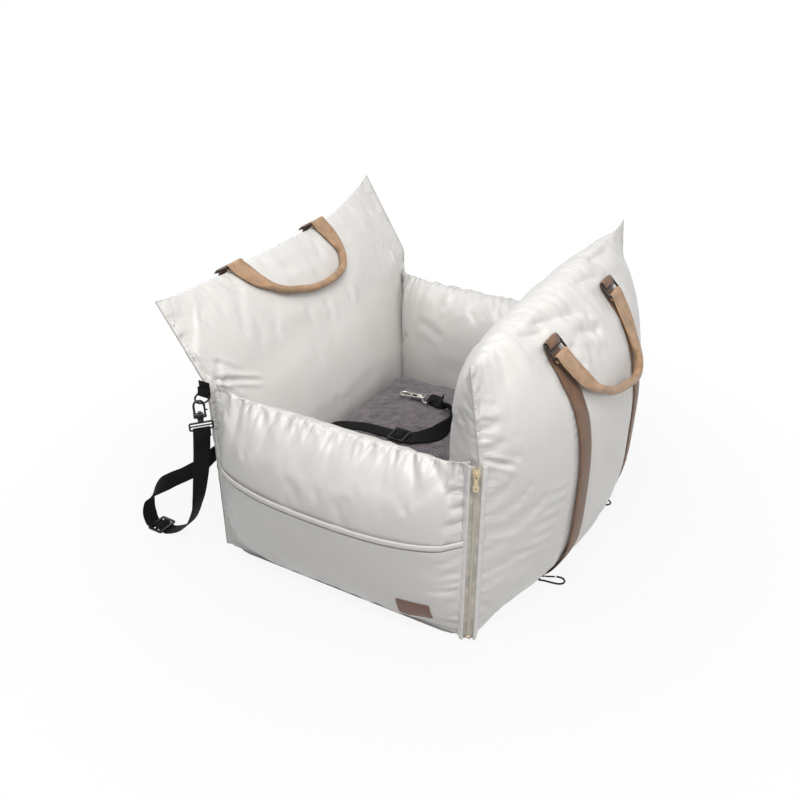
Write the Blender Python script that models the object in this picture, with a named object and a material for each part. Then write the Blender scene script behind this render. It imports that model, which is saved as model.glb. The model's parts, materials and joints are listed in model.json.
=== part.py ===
"""Pet travel bed with two low walls, two tall walls, carry handles and tethers.

Metres, +Z up. The low front wall faces -Y. The tall walls are at +X and -X.
"""

import math

import bmesh
import bpy
import numpy as np
from mathutils import Matrix, Vector
from mathutils.bvhtree import BVHTree

# Overall sizes
BASE_WIDTH = 0.450  # between the seams of the tall walls, at the floor
BASE_LENGTH = 0.610  # between the seams of the low walls, at the floor
LOW_HEIGHT = 0.320  # low walls, at the corner seams
TALL_HEIGHT = 0.458  # tall walls, at their upper corners
HALF_W = BASE_WIDTH / 2
HALF_L = BASE_LENGTH / 2

# Clearances
GAP = 0.0003  # between pieces that touch
CLOTH_GAP = 0.0005  # between cloth and the cushion that it lies on
SINK = 0.0030  # how deep cloth is drawn into a cushion before it is trimmed

# Filling of the cushions
SIDE_OUT = 0.096  # how far a tall wall swells outside its seam
SIDE_IN = 0.105  # how far the right wall reaches inside its seam
LEFT_IN = 0.073  # how far the left wall reaches inside its seam
LEFT_LEAN = 0.076  # how far the left wall's upper corners lean outwards
RIGHT_LEAN = 0.016  # how far the right wall's upper corners lean inwards
EAR_REACH = 0.007  # how far the upper corners stand past the seams
EAR_RISE = 0.014  # how much higher than the middle the left wall's back corner is
LEFT_DROP = 0.010  # how much lower than the right wall's the left wall's corners are
RIDGE_PAST = 0.006  # how far in the right wall's ridge lies past its corners
RIDGE_LOW = 0.004  # how far the right wall's ridge lies below its corners
LEFT_RIDGE_PAST = 0.010
LEFT_RIDGE_LOW = 0.040
LOW_RIDGE_IN = 0.010  # how far inside its seam the front wall's ridge lies
LOW_END = 0.012  # how far inside the corner seams the low walls end
UNDER_SIDE = 0.030  # how far out a tall wall's flat underside reaches
FRONT_OUT = 0.052  # how far the front wall swells
FRONT_IN = 0.065  # how far the front wall reaches inside its seam
BACK_OUT = 0.028
BACK_IN = 0.160
CREASE = 0.007  # depth of the tuck at the height of the low walls

# Base, inner floor and pad
PANEL = 0.005  # stiff base panel
PANEL_CORNER = 0.045
FLOOR_TOP = 0.052
PAD_TOP = 0.153
PAD_CROWN = 0.014
PAD_CORNER = 0.040
PAD_GAP = 0.0015

# Pocket, label and zip
POCKET_CLOTH = 0.0016
POCKET_SHARE = 0.56  # height of the mouth as a share of the front wall's height
POCKET_WIDE = 0.93  # share of the front wall's half length that the pocket covers
POCKET_LOOSE = 0.0035  # how far the mouth stands off the wall
HEM_TALL = 0.0085
HEM_THICK = 0.0030
LABEL_W = 0.051
LABEL_H = 0.037
LABEL_THICK = 0.0014
LABEL_X = HALF_W - 0.079
LABEL_Z = 0.050
ZIP_TOP = LOW_HEIGHT - 0.006
ZIP_TAPE = 0.0098  # width of each half of the tape
ZIP_TAPE_THICK = 0.0008
TOOTH_PITCH = 0.0038
TOOTH_WIDE = 0.0044
TOOTH_TALL = 0.0015
ZIP_TURN = math.radians(27)  # the zip faces this far round from the front
ZIP_FOOT = 0.004  # from the base panel up to the tapes
ZIP_BED = 0.003  # how far the flat bed of the zip reaches past each tape
TOOTH_ROOM = 0.0004  # round the teeth in the slider
SLIDER_LONG = 0.013
SLIDER_WALL = 0.0011
PULL_LONG = 0.026
PULL_WIDE = 0.0078
PULL_THICK = 0.0010
PULL_TOP = 0.0011  # how far the pull reaches past its pivot

# Straps, buckles and handles
STRAP_Y = 0.121  # straps stand this far in front of and behind the middle
STRAP_WIDE = 0.038
STRAP_THICK = 0.0016
BAR_R = 0.0018
BUCKLE_WIDE = 0.0450
BUCKLE_LONG = 0.0240
BUCKLE_CORNER = 0.0024
BUCKLE_MIDDLE_R = 0.0014
GRIP_R = 0.0075
GRIP_END_R = 0.0042

RIGHT_BAR_LEVEL = 11.4  # how far up its track a strap ends, counted in levels
LEFT_BAR_LEVEL = 12.42
STRAP_START = 0.3  # the straps come out from under the walls at this level
RIGHT_LIFT = 0.0015  # from the wall up to the loop of a strap's end
LEFT_LIFT = 0.0039
RIGHT_BUCKLE_OFF = 0.0090  # from the wall to the middle of a buckle's lower bar
LEFT_BUCKLE_OFF = 0.0078
REST_ON_STRAP = 0.0052
REST_ON_WALL = 0.0012
TAB_WIDE = 0.0285
# Grips, from the buckles' lower bars: along X, share of STRAP_Y, along Z
RIGHT_GRIP = [
    (0.0129, -0.992, -0.0405), (0.0199, -0.884, -0.0525), (0.0329, -0.537, -0.0765),
    (0.0399, -0.165, -0.0965), (0.0419, 0.174, -0.1085), (0.0459, 0.579, -0.1165),
    (0.0479, 0.826, -0.1125), (0.0449, 0.959, -0.0905), (0.0319, 0.992, -0.0575),
]
LEFT_GRIP = [
    (0.0104, -1.000, -0.0099), (0.0234, -0.942, -0.0249), (0.0374, -0.777, -0.0449),
    (0.0494, -0.529, -0.0599), (0.0524, -0.248, -0.0719), (0.0554, 0.165, -0.0829),
    (0.0554, 0.661, -0.0829), (0.0464, 0.959, -0.0679), (0.0314, 1.041, -0.0379),
    (0.0104, 1.000, -0.0099),
]
LEFT_TAB_WAY = (0.75, 0.0, -0.66)  # how the left handle's sewn ends leave the bars

# Hooks
HOOK_TURN = math.radians(48)
D_WIRE_R = 0.0016
D_WIDE = 0.0240
D_DEEP = 0.0160
D_TILT = math.radians(66)  # how far the ring leans out from the wall
TAB_AT = (-HALF_W - 0.0050, -HALF_L - 0.0018, LOW_HEIGHT - 0.0040)
TAB_TALL = 0.0220
FRAME_LOW = 0.0465  # from the D-ring's wire down to the swivel frame's lower bar
FRAME_R = 0.0016
FRAME_HALF = 0.0178
FRAME_MIDDLE = 0.0400  # down to the swivel frame's middle bar
FRAME_MIDDLE_R = 0.0012
BOW_R = 0.0019  # wire of the belt hook's bow
BOW_HALF = 0.0078
GATE_X = 0.0080
GATE_R = 0.0016
GATE_FOOT = -0.0188
BARREL_R = 0.0058
BARREL_TIP_R = 0.0044
STEM_R = 0.0018
STEM_ROOM = 0.0004  # round the swivel's stem in its bore
STEM_HEAD_R = 0.0030
STEM_LOW = 0.0345
SLIDE_HALF = 0.0012
SLIDE_BAR = 0.0042
SLIDE_WIDE = 0.0380
SLIDE_LONG = 0.0300
SLIDE_WAY = [(-0.70, -1.0), (-0.43, -1.0), (-0.30, -0.8), (-0.12, 0.95), (0.0, 1.05)]
SLIDE_WAY += [(0.12, 0.95), (0.30, -0.8), (0.43, -1.0), (0.70, -1.0)]
# Belt: distance out from the left seam, share of HALF_L, height
BELT_SLIDE_AT = (0.1310, -1.0525, 0.0048)
BELT_SLIDE_WAY = (-1.0, 0.02, 0.0)
BELT_ON_WALL = -0.738  # share of HALF_L where the belt comes to lie on the wall
BELT_OFF_WALL = 0.0051
BELT_PATH = [
    (0.0150, -1.0459, 0.2050), (0.0230, -1.0361, 0.1700), (0.0310, -1.0328, 0.1350),
    (0.0390, -1.0328, 0.1000), (0.0490, -1.0361, 0.0660), (0.0650, -1.0426, 0.0340),
    (0.0870, -1.0492, 0.0130), (0.1100, -1.0525, 0.0062), (0.1310, -1.0525, 0.0050),
    (0.1530, -1.0459, 0.0080), (0.1660, -1.0230, 0.0190), (0.1670, -0.9902, 0.0380),
    (0.1540, -0.9574, 0.0580), (0.1310, -0.9279, 0.0760), (0.1010, -0.8984, 0.0950),
    (0.0750, -0.8590, 0.1150), (0.0600, -0.7803, 0.1330), (0.0740, -0.6230, 0.1230),
    (0.0880, -0.3934, 0.1050), (0.0950, -0.1311, 0.0980), (0.0950, 0.1639, 0.1030),
    (0.0860, 0.4426, 0.1280), (0.0650, 0.7213, 0.1750), (0.0350, 0.9246, 0.2300),
    (0.0130, 0.9902, 0.2620),
]
BELT_ACROSS = [(0.72, 0.69, 0.0), (0.66, 0.75, 0.0), (0.45, 0.89, 0.0), (0.2, 0.98, 0.0)]
BELT_ACROSS += [(0, 1, 0)] * 6 + [(0.1, 0.98, 0.1), (0.0, 0.9, 0.4), (0.0, 0.6, 0.8)]
BELT_ACROSS += [(0, 0.2, 0.98)] + [(0, 0, 1)] * 11

# Floor hooks: name, place along the wall, side and turn in degrees
LOOP_WEB = 0.0010
FLOOR_HOOK_OUT = 0.0390  # from the seam to the bar that the webbing loop holds
FLOOR_HOOKS = [
    ("right_front_hook", -0.128, 1, 17), ("right_rear_hook", 0.108, 1, 20),
    ("left_front_hook", -0.128, -1, -12), ("left_rear_hook", 0.108, -1, 14),
]
HOOK_WIRE = [
    (0.0052, 0.0085), (0.0052, 0.0016), (0.0046, 0.0005), (0.0036, 0.0), (-0.0036, 0.0),
    (-0.0046, 0.0005), (-0.0052, 0.0016), (-0.0052, 0.0085), (-0.0078, 0.0240),
    (-0.0083, 0.0300), (-0.0076, 0.0350), (-0.0050, 0.0395), (0.0, 0.0414),
    (0.0050, 0.0395), (0.0076, 0.0350), (0.0083, 0.0300), (0.0080, 0.0275),
]
HOOK_GATE = [(0.0053, 0.0091), (0.0060, 0.0140), (0.0070, 0.0205), (0.0078, 0.0252)]

# Inner tether
PAD_EDGE = -HALF_W + LEFT_IN
SNAP_AT = (PAD_EDGE + 0.1220, 0.0360)
SNAP_WAY = (-0.988, -0.152, 0.0)
SNAP_R = 0.0058
EYE_LOW = 0.0075
EYE_R = 0.0016
BOLT_X = 0.0034
BOLT_R = 0.0016
BOLT_ENDS = (0.0215, 0.0385)
SNAP_HOOK = [
    (-0.0036, 0.0250), (-0.0046, 0.0290), (-0.0074, 0.0340), (-0.0082, 0.0400),
    (-0.0064, 0.0455), (-0.0020, 0.0485), (0.0026, 0.0470), (0.0042, 0.0432), (0.0036, 0.0394),
]
TETHER_SLIDE_AT = (PAD_EDGE + 0.1400, -0.0930, PAD_TOP + 0.0170)
TETHER_SLIDE_WAY = (1.0, 0.02, 0.0)
TETHER_SLIDE_LONG = 0.0300
TETHER_SLIDE_WIDE = 0.0362
# Tether: distance in from the pad's left edge, place along Y, height over PAD_TOP
TETHER_PATH = [
    (0.0032, -0.1180, -0.0170), (0.0055, -0.1175, -0.0010), (0.0190, -0.1120, 0.0070),
    (0.0370, -0.0980, 0.0070), (0.0670, -0.0910, 0.0070), (0.1070, -0.0940, 0.0090),
    (0.1400, -0.0930, 0.0130), (0.1680, -0.0860, 0.0130), (0.1920, -0.0640, 0.0150),
    (0.2020, -0.0340, 0.0150), (0.1940, -0.0040, 0.0150), (0.1720, 0.0180, 0.0150),
]
TETHER_ACROSS = [(0, 1, 0), (0.1, 1, 0.0), (-0.4, 0.9, 0), (-0.5, 0.85, 0), (0, 1, 0)]
TETHER_ACROSS += [(0, 1, 0), (0, 1, 0), (-0.4, 0.9, 0.2), (-0.6, 0.4, 0.6), (-0.2, 0, 1)]
TETHER_ACROSS += [(0.3, -0.3, 0.9), (0.3, -0.7, 0.4)]
FLOOR_WIRE_R = 0.0016
LOOP_WIDE = 0.0064
WEB_WIDE = 0.0265  # black webbing of the belt and of the inner tether
WEB_THICK = 0.0014

PARTS = "pet_travel_bed"
CUTTERS = "cutters"


def start():
    for obj in list(bpy.data.objects):
        bpy.data.objects.remove(obj, do_unlink=True)
    for name in (PARTS, CUTTERS):
        group = bpy.data.collections.new(name)
        bpy.context.scene.collection.children.link(group)
    bpy.data.collections[CUTTERS].hide_render = True


def material(name, colour, rough=0.6, metal=0.0):
    found = bpy.data.materials.get(name)
    if found is None:
        found = bpy.data.materials.new(name)
        found.use_nodes = True
        shader = found.node_tree.nodes["Principled BSDF"]
        shader.inputs["Base Color"].default_value = (*colour, 1.0)
        shader.inputs["Roughness"].default_value = rough
        shader.inputs["Metallic"].default_value = metal
    return found


LOOKS = {
    "shell_cloth": ((0.73, 0.71, 0.68), 0.4, 0.0),
    "plush": ((0.16, 0.14, 0.15), 0.95, 0.0),
    "panel_cloth": ((0.12, 0.12, 0.12), 0.9, 0.0),
    "label_leather": ((0.16, 0.06, 0.04), 0.5, 0.0),
    "zip_tape": ((0.45, 0.40, 0.32), 0.8, 0.0),
    "zip_metal": ((0.55, 0.45, 0.27), 0.35, 0.2),
    "brown_strap": ((0.16, 0.10, 0.065), 0.6, 0.0),
    "tan_webbing": ((0.40, 0.24, 0.14), 0.6, 0.0),
    "black_webbing": ((0.012, 0.012, 0.012), 0.7, 0.0),
    "black_metal": ((0.02, 0.02, 0.022), 0.3, 0.6),
    "black_plastic": ((0.015, 0.015, 0.017), 0.35, 0.0),
    "chrome": ((0.72, 0.70, 0.66), 0.15, 1.0),
}


def add(name, mesh, look, smooth=False, group=PARTS):
    obj = bpy.data.objects.new(name, mesh)
    bpy.data.collections[group].objects.link(obj)
    mesh.materials.clear()
    mesh.materials.append(material(look, *LOOKS[look]))
    for face in mesh.polygons:
        face.use_smooth = smooth
    if group == CUTTERS:
        obj.display_type = "WIRE"
    return obj


def turn_about(name, point):
    """Puts a piece's origin on its joint without moving the piece."""
    obj = bpy.data.objects[name]
    obj.data.transform(Matrix.Translation(-Vector(point)))
    obj.location = Vector(point)


def mesh_of(name, points, faces):
    mesh = bpy.data.meshes.new(name)
    mesh.from_pydata([tuple(p) for p in points], [], faces)
    build = bmesh.new()
    build.from_mesh(mesh)
    bmesh.ops.remove_doubles(build, verts=build.verts, dist=1e-6)
    bmesh.ops.recalc_face_normals(build, faces=build.faces)
    if build.calc_volume(signed=True) < 0:
        bmesh.ops.reverse_faces(build, faces=build.faces)
    build.to_mesh(mesh)
    build.free()
    return mesh


def prism(name, outline, low, high, place, look, smooth=False, group=PARTS):
    """A closed outline in the place's own X and Y, from low to high in its Z."""
    count = len(outline)
    points = [place @ Vector((x, y, z)) for z in (low, high) for x, y in outline]
    faces = [list(range(count))[::-1], [count + i for i in range(count)]]
    for i in range(count):
        j = (i + 1) % count
        faces.append([i, j, count + j, count + i])
    return add(name, mesh_of(name, points, faces), look, smooth, group)


def rounded(wide, long, radius, steps=4, centre=(0, 0)):
    """A rectangle's outline with round corners."""
    points = []
    for sx, sy, turn in ((1, 1, 0), (-1, 1, 90), (-1, -1, 180), (1, -1, 270)):
        cx = centre[0] + sx * (wide / 2 - radius)
        cy = centre[1] + sy * (long / 2 - radius)
        for k in range(steps + 1):
            a = math.radians(turn + 90 * k / steps)
            points.append((cx + radius * math.cos(a), cy + radius * math.sin(a)))
    return points


def box(name, size, place, look, bevel=0.0, group=PARTS):
    mesh = bpy.data.meshes.new(name)
    build = bmesh.new()
    bmesh.ops.create_cube(build, size=1.0)
    bmesh.ops.scale(build, verts=build.verts, vec=size)
    if bevel:
        bmesh.ops.bevel(
            build, geom=build.edges, offset=bevel, segments=1, affect="EDGES"
        )
    bmesh.ops.transform(build, verts=build.verts, matrix=place)
    build.to_mesh(mesh)
    build.free()
    return add(name, mesh, look, False, group)


def rod(name, start_at, end_at, radius, look, sides=12, group=PARTS, tip=None):
    """A round rod between two points, with a second radius where it tapers."""
    a, b = Vector(start_at), Vector(end_at)
    mesh = bpy.data.meshes.new(name)
    build = bmesh.new()
    bmesh.ops.create_cone(
        build,
        cap_ends=True,
        segments=sides,
        radius1=radius,
        radius2=radius if tip is None else tip,
        depth=(b - a).length,
    )
    turn = (b - a).to_track_quat("Z", "Y").to_matrix().to_4x4()
    bmesh.ops.transform(
        build, verts=build.verts, matrix=Matrix.Translation((a + b) / 2) @ turn
    )
    build.to_mesh(mesh)
    build.free()
    return add(name, mesh, look, True, group)


def tube(name, points, radius, look, closed=False, fine=1, radii=None, group=PARTS):
    """A round tube along points, made as a beveled curve."""
    data = bpy.data.curves.new(name, "CURVE")
    data.dimensions = "3D"
    data.bevel_depth = radius
    data.bevel_resolution = fine
    data.use_fill_caps = not closed
    line = data.splines.new("POLY")
    line.points.add(len(points) - 1)
    for i, p in enumerate(points):
        line.points[i].co = (*p, 1.0)
        line.points[i].radius = 1.0 if radii is None else radii[i] / radius
    line.use_cyclic_u = closed
    curve = bpy.data.objects.new(name + "_curve", data)
    bpy.data.collections[group].objects.link(curve)
    mesh = bpy.data.meshes.new_from_object(curve)
    mesh.transform(curve.matrix_world)
    bpy.data.objects.remove(curve, do_unlink=True)
    build = bmesh.new()
    build.from_mesh(mesh)
    bmesh.ops.remove_doubles(build, verts=build.verts, dist=1e-6)
    bmesh.ops.recalc_face_normals(build, faces=build.faces)
    build.to_mesh(mesh)
    build.free()
    return add(name, mesh, look, True, group)


def combine(target, other, how):
    """Joins, cuts or crosses two solids, and removes the second."""
    step = target.modifiers.new("solid", "BOOLEAN")
    step.operation = how
    step.solver = "EXACT"
    step.object = other
    holder = bpy.context.evaluated_depsgraph_get()
    holder.update()
    mesh = bpy.data.meshes.new_from_object(target.evaluated_get(holder))
    target.modifiers.clear()
    old = target.data
    target.data = mesh
    mesh.name = target.name
    bpy.data.meshes.remove(old)
    bpy.data.objects.remove(other, do_unlink=True)
    return target


def union(first, *others):
    for other in others:
        combine(first, other, "UNION")
    return first


def cut(first, *others):
    for other in others:
        combine(first, other, "DIFFERENCE")
    return first


def smooth_line(points, count):
    """Points spread evenly along a smooth curve through the given ones."""
    p = np.array(points, float)
    p = np.vstack([2 * p[0] - p[1], p, 2 * p[-1] - p[-2]])
    fine = []
    for i in range(1, len(p) - 2):
        for t in np.linspace(0, 1, 12, endpoint=False):
            a = -0.5 * p[i - 1] + 1.5 * p[i] - 1.5 * p[i + 1] + 0.5 * p[i + 2]
            b = p[i - 1] - 2.5 * p[i] + 2 * p[i + 1] - 0.5 * p[i + 2]
            c = -0.5 * p[i - 1] + 0.5 * p[i + 1]
            fine.append(((a * t + b) * t + c) * t + p[i])
    fine.append(p[-2])
    fine = np.array(fine)
    gone = np.concatenate([[0], np.cumsum(np.linalg.norm(np.diff(fine, axis=0), axis=1))])
    if np.ndim(count) == 0:
        want = np.linspace(0, 1, count)
    else:
        want = np.array(count)
    return np.stack(
        [np.interp(want * gone[-1], gone, fine[:, k]) for k in range(fine.shape[1])], 1
    )


def blend(a, b, x):
    return a + (b - a) * x


class Cushion:
    """A stuffed wall between two end seams, swelling from them to its middle.

    across and along are the directions of thickness and length. The outer and the
    inner face meet along the ridge and at both end seams.
    """

    def __init__(
        self, name, stations, outer, inner, levels, half, seam, ends, turn, skew=0.0,
        crease=None,
    ):
        self.name = name
        self.stations = stations
        self.levels = np.array(levels)
        self.half = half
        self.seam = seam
        self.turn = turn
        self.ends = ends
        self.skew = skew
        self.crease = crease
        self.middle = {
            "outer": smooth_line(outer, self.levels),
            "inner": smooth_line(inner, self.levels),
        }

    def swell(self, u, t, side):
        power, root = self.ends(t, side)
        full = max(0.0, 1 - abs(u) ** power) ** root
        return full * (1 + self.skew * u * (1 - t))

    def point(self, u, k, side):
        t = self.levels[k]
        s_across, s_up, s_past = self.seam(u, t)
        m_across, m_up = self.middle[side][k]
        e = self.swell(u, t, side)
        a = blend(s_across, m_across, e)
        z = blend(s_up, m_up, e)
        if self.crease and 0.55 < abs(u) < 1:
            near = max(0.0, 1 - abs(t - self.crease) / 0.03)
            fade = min(1.0, (abs(u) - 0.55) / 0.25) * min(1.0, (1 - abs(u)) / 0.03)
            a -= CREASE * near * fade * (1 if m_across > s_across else -1)
        along = u * self.half + math.copysign(s_past * abs(u) ** 6, u)
        return self.turn(a, along, z)

    def build(self, name, look, stations, grow=0.0, group=PARTS):
        count = len(self.levels)
        us = [math.sin(math.pi / 2 * s) for s in np.linspace(-1, 1, stations)]
        self.us = us
        self.grid = {
            side: np.array(
                [[self.point(u, k, side) for k in range(count)] for u in us]
            )
            for side in ("outer", "inner")
        }
        points, index, seam = [], {}, set()
        for i in range(stations):
            for side in ("outer", "inner"):
                for k in range(count):
                    key = (i, side, k)
                    ends = i in (0, stations - 1) or k == count - 1
                    if ends and side == "inner":
                        index[key] = index[(i, "outer", k)]
                        seam.add(index[key])
                        continue
                    index[key] = len(points)
                    points.append(self.grid[side][i][k])
        faces = []
        for i in range(stations - 1):
            ring_a = [index[(i, "outer", k)] for k in range(count)]
            ring_a += [index[(i, "inner", k)] for k in range(count - 2, -1, -1)]
            ring_b = [index[(i + 1, "outer", k)] for k in range(count)]
            ring_b += [index[(i + 1, "inner", k)] for k in range(count - 2, -1, -1)]
            size = len(ring_a)
            for k in range(size):
                j = (k + 1) % size
                face = []
                for v in (ring_a[k], ring_a[j], ring_b[j], ring_b[k]):
                    if v not in face:
                        face.append(v)
                free = [v for v in face if v not in seam]
                if len(face) == 4 and len(free) == 1:
                    q = face.index(free[0])
                    corners = face[q:] + face[:q]
                    faces += [corners[:3], [corners[0], corners[2], corners[3]]]
                elif len(face) > 2:
                    faces.append(face)
        mesh = mesh_of(name, points, faces)
        build = bmesh.new()
        build.from_mesh(mesh)
        bmesh.ops.triangulate(build, faces=build.faces)
        if grow:
            build.normal_update()
            for v in build.verts:
                v.co += v.normal * grow * min(2.5, v.calc_shell_factor())
        build.to_mesh(mesh)
        build.free()
        return add(name, mesh, look, True, group)

    def cutter(self, grow=GAP):
        return self.build("cut_" + self.name, "shell_cloth", self.stations, grow, CUTTERS)

    def normals(self, side):
        g = self.grid[side]
        du = np.gradient(g, axis=0)
        dk = np.gradient(g, axis=1)
        n = np.cross(du, dk)
        n /= np.maximum(np.linalg.norm(n, axis=2, keepdims=True), 1e-12)
        middle = len(g) // 2
        other = "inner" if side == "outer" else "outer"
        away = (g - self.grid[other])[middle, 3]
        if (n[middle, 3] * away).sum() < 0:
            n = -n
        return n

    def on_face(self, u, k, side, off):
        """A point on the faceted surface, lifted off it."""
        i = float(np.interp(u, self.us, range(len(self.us))))
        i0, k0 = min(int(i), len(self.us) - 2), min(int(k), len(self.levels) - 2)
        fi, fk = i - i0, k - k0
        n = self.normals(side)
        out = []
        for array in (self.grid[side], n):
            low = blend(array[i0, k0], array[i0 + 1, k0], fi)
            high = blend(array[i0, k0 + 1], array[i0 + 1, k0 + 1], fi)
            out.append(blend(low, high, fk))
        lift = out[1] / np.linalg.norm(out[1])
        return Vector(out[0] + lift * off)


def slab(name, near, far, look, group=PARTS):
    """A closed shell between two grids of points that have the same rows."""
    rows, cols = len(near), len(near[0])
    points = [p for grid in (near, far) for row in grid for p in row]
    size = rows * cols
    faces = []
    for i in range(rows - 1):
        for j in range(cols - 1):
            a = i * cols + j
            faces.append([a, a + 1, a + cols + 1, a + cols])
            faces.append([size + a, size + a + cols, size + a + cols + 1, size + a + 1])
    rim = [j for j in range(cols)]
    rim += [i * cols + cols - 1 for i in range(1, rows)]
    rim += [(rows - 1) * cols + j for j in range(cols - 2, -1, -1)]
    rim += [i * cols for i in range(rows - 2, 0, -1)]
    for a, b in zip(rim, rim[1:] + rim[:1]):
        faces.append([a, size + a, size + b, b])
    mesh = mesh_of(name, points, faces)
    build = bmesh.new()
    build.from_mesh(mesh)
    bmesh.ops.triangulate(build, faces=build.faces)
    build.to_mesh(mesh)
    build.free()
    return add(name, mesh, look, False, group)


def ribbon_rows(path, across, wide, thick):
    """Rows of a flat webbing along a path: its two faces, three points to a row."""
    path = [Vector(p) for p in path]
    top, under = [], []
    for i, p in enumerate(path):
        ahead = path[min(i + 1, len(path) - 1)] - path[max(i - 1, 0)]
        ahead.normalize()
        side = Vector(across[i])
        side -= ahead * side.dot(ahead)
        side.normalize()
        up = ahead.cross(side)
        half, rise = side * wide / 2, up * thick / 2
        top.append([p - half + rise, p + rise, p + half + rise])
        under.append([p - half - rise, p - rise, p + half - rise])
    return top, under


def loop_rows(bar, first, middle, clear, thick, side):
    """Rows of webbing half way round a bar, from the side first over middle."""
    outer, inner = [], []
    for turn in (0, 45, 90, 135, 180):
        a = math.radians(turn)
        way = first * math.cos(a) + middle * math.sin(a)
        outer.append([bar + way * (clear + thick) + side * w for w in (-1, 0, 1)])
        inner.append([bar + way * clear + side * w for w in (-1, 0, 1)])
    return outer, inner


def tall_ends(t, side):
    if side == "inner":
        return 3.0, 0.55
    return blend(2.1, 3.0, t), blend(1.0, 0.55, t)


def low_ends(t, side):
    return 2.6, 0.6


SEAM_SHARE = LOW_HEIGHT / TALL_HEIGHT
BELOW_SEAM = [0, 0.1288, 0.2719, 0.4294, 0.5868, 0.7442, 0.8731, 0.9571, 1.0]
ABOVE_SEAM = [0.0996, 0.3362, 0.5685, 0.8009, 1.0]
TALL_LEVELS = [SEAM_SHARE * share for share in BELOW_SEAM]
TALL_LEVELS += [SEAM_SHARE + (1 - SEAM_SHARE) * share for share in ABOVE_SEAM]
LOW_LEVELS = [0, 0.14, 0.28, 0.42, 0.56, 0.68, 0.80, 0.91, 1.0]


def right_seam(u, t):
    lean = max(0.0, t - SEAM_SHARE) / (1 - SEAM_SHARE)
    return -RIGHT_LEAN * lean, blend(PANEL + GAP, TALL_HEIGHT, t), EAR_REACH * lean


def left_seam(u, t):
    lean = max(0.0, t - SEAM_SHARE) / (1 - SEAM_SHARE)
    top = TALL_HEIGHT - LEFT_DROP + EAR_RISE * u
    return LEFT_LEAN * lean, blend(PANEL + GAP, top, t), EAR_REACH * lean


def low_seam(u, t):
    return 0.0, blend(PANEL + GAP, LOW_HEIGHT, t), 0.0


def tall_profiles(reach_in, ridge, lean_in):
    """Cross-sections through the middle of a tall wall: outer, then inner."""
    s, r, h = SIDE_OUT, reach_in, TALL_HEIGHT
    bottom = PANEL + GAP
    if lean_in:
        outer = [(UNDER_SIDE, bottom), (0.69 * s, 0.0437 * h), (0.875 * s, 0.120 * h)]
        outer += [(0.97 * s, 0.218 * h), (s, 0.360 * h), (0.99 * s, 0.502 * h)]
        outer += [(0.90 * s, 0.635 * h), (0.73 * s, 0.745 * h)]
        outer += [(0.46 * s, 0.83 * h), (0.14 * s, 0.915 * h), ridge]
        inner = [(-r * 0.98, bottom), (-r, 0.109 * h), (-r, 0.262 * h)]
        inner += [(-r, 0.400 * h), (-r * 0.99, 0.568 * h)]
        inner += [(-r * 0.95, 0.74 * h), (-r * 0.80, 0.87 * h)]
        inner += [(-r * 0.52, 0.965 * h), ridge]
    else:
        outer = [(UNDER_SIDE, bottom), (0.63 * s, 0.0437 * h), (0.81 * s, 0.131 * h)]
        outer += [(0.91 * s, 0.262 * h), (0.97 * s, 0.415 * h), (1.02 * s, 0.568 * h)]
        outer += [(1.08 * s, 0.70 * h), (1.13 * s, 0.81 * h), (1.09 * s, 0.88 * h), ridge]
        inner = [(-r * 0.98, bottom), (-r, 0.109 * h), (-r, 0.218 * h)]
        inner += [(-r * 0.97, 0.334 * h), (-r * 0.78, 0.415 * h), (-r * 0.45, 0.535 * h)]
        inner += [(-r * 0.05, 0.644 * h), (LEFT_LEAN * 0.25, 0.753 * h)]
        inner += [(LEFT_LEAN * 0.58, 0.841 * h), (LEFT_LEAN * 0.88, 0.8996 * h), ridge]
    return outer, inner


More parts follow.
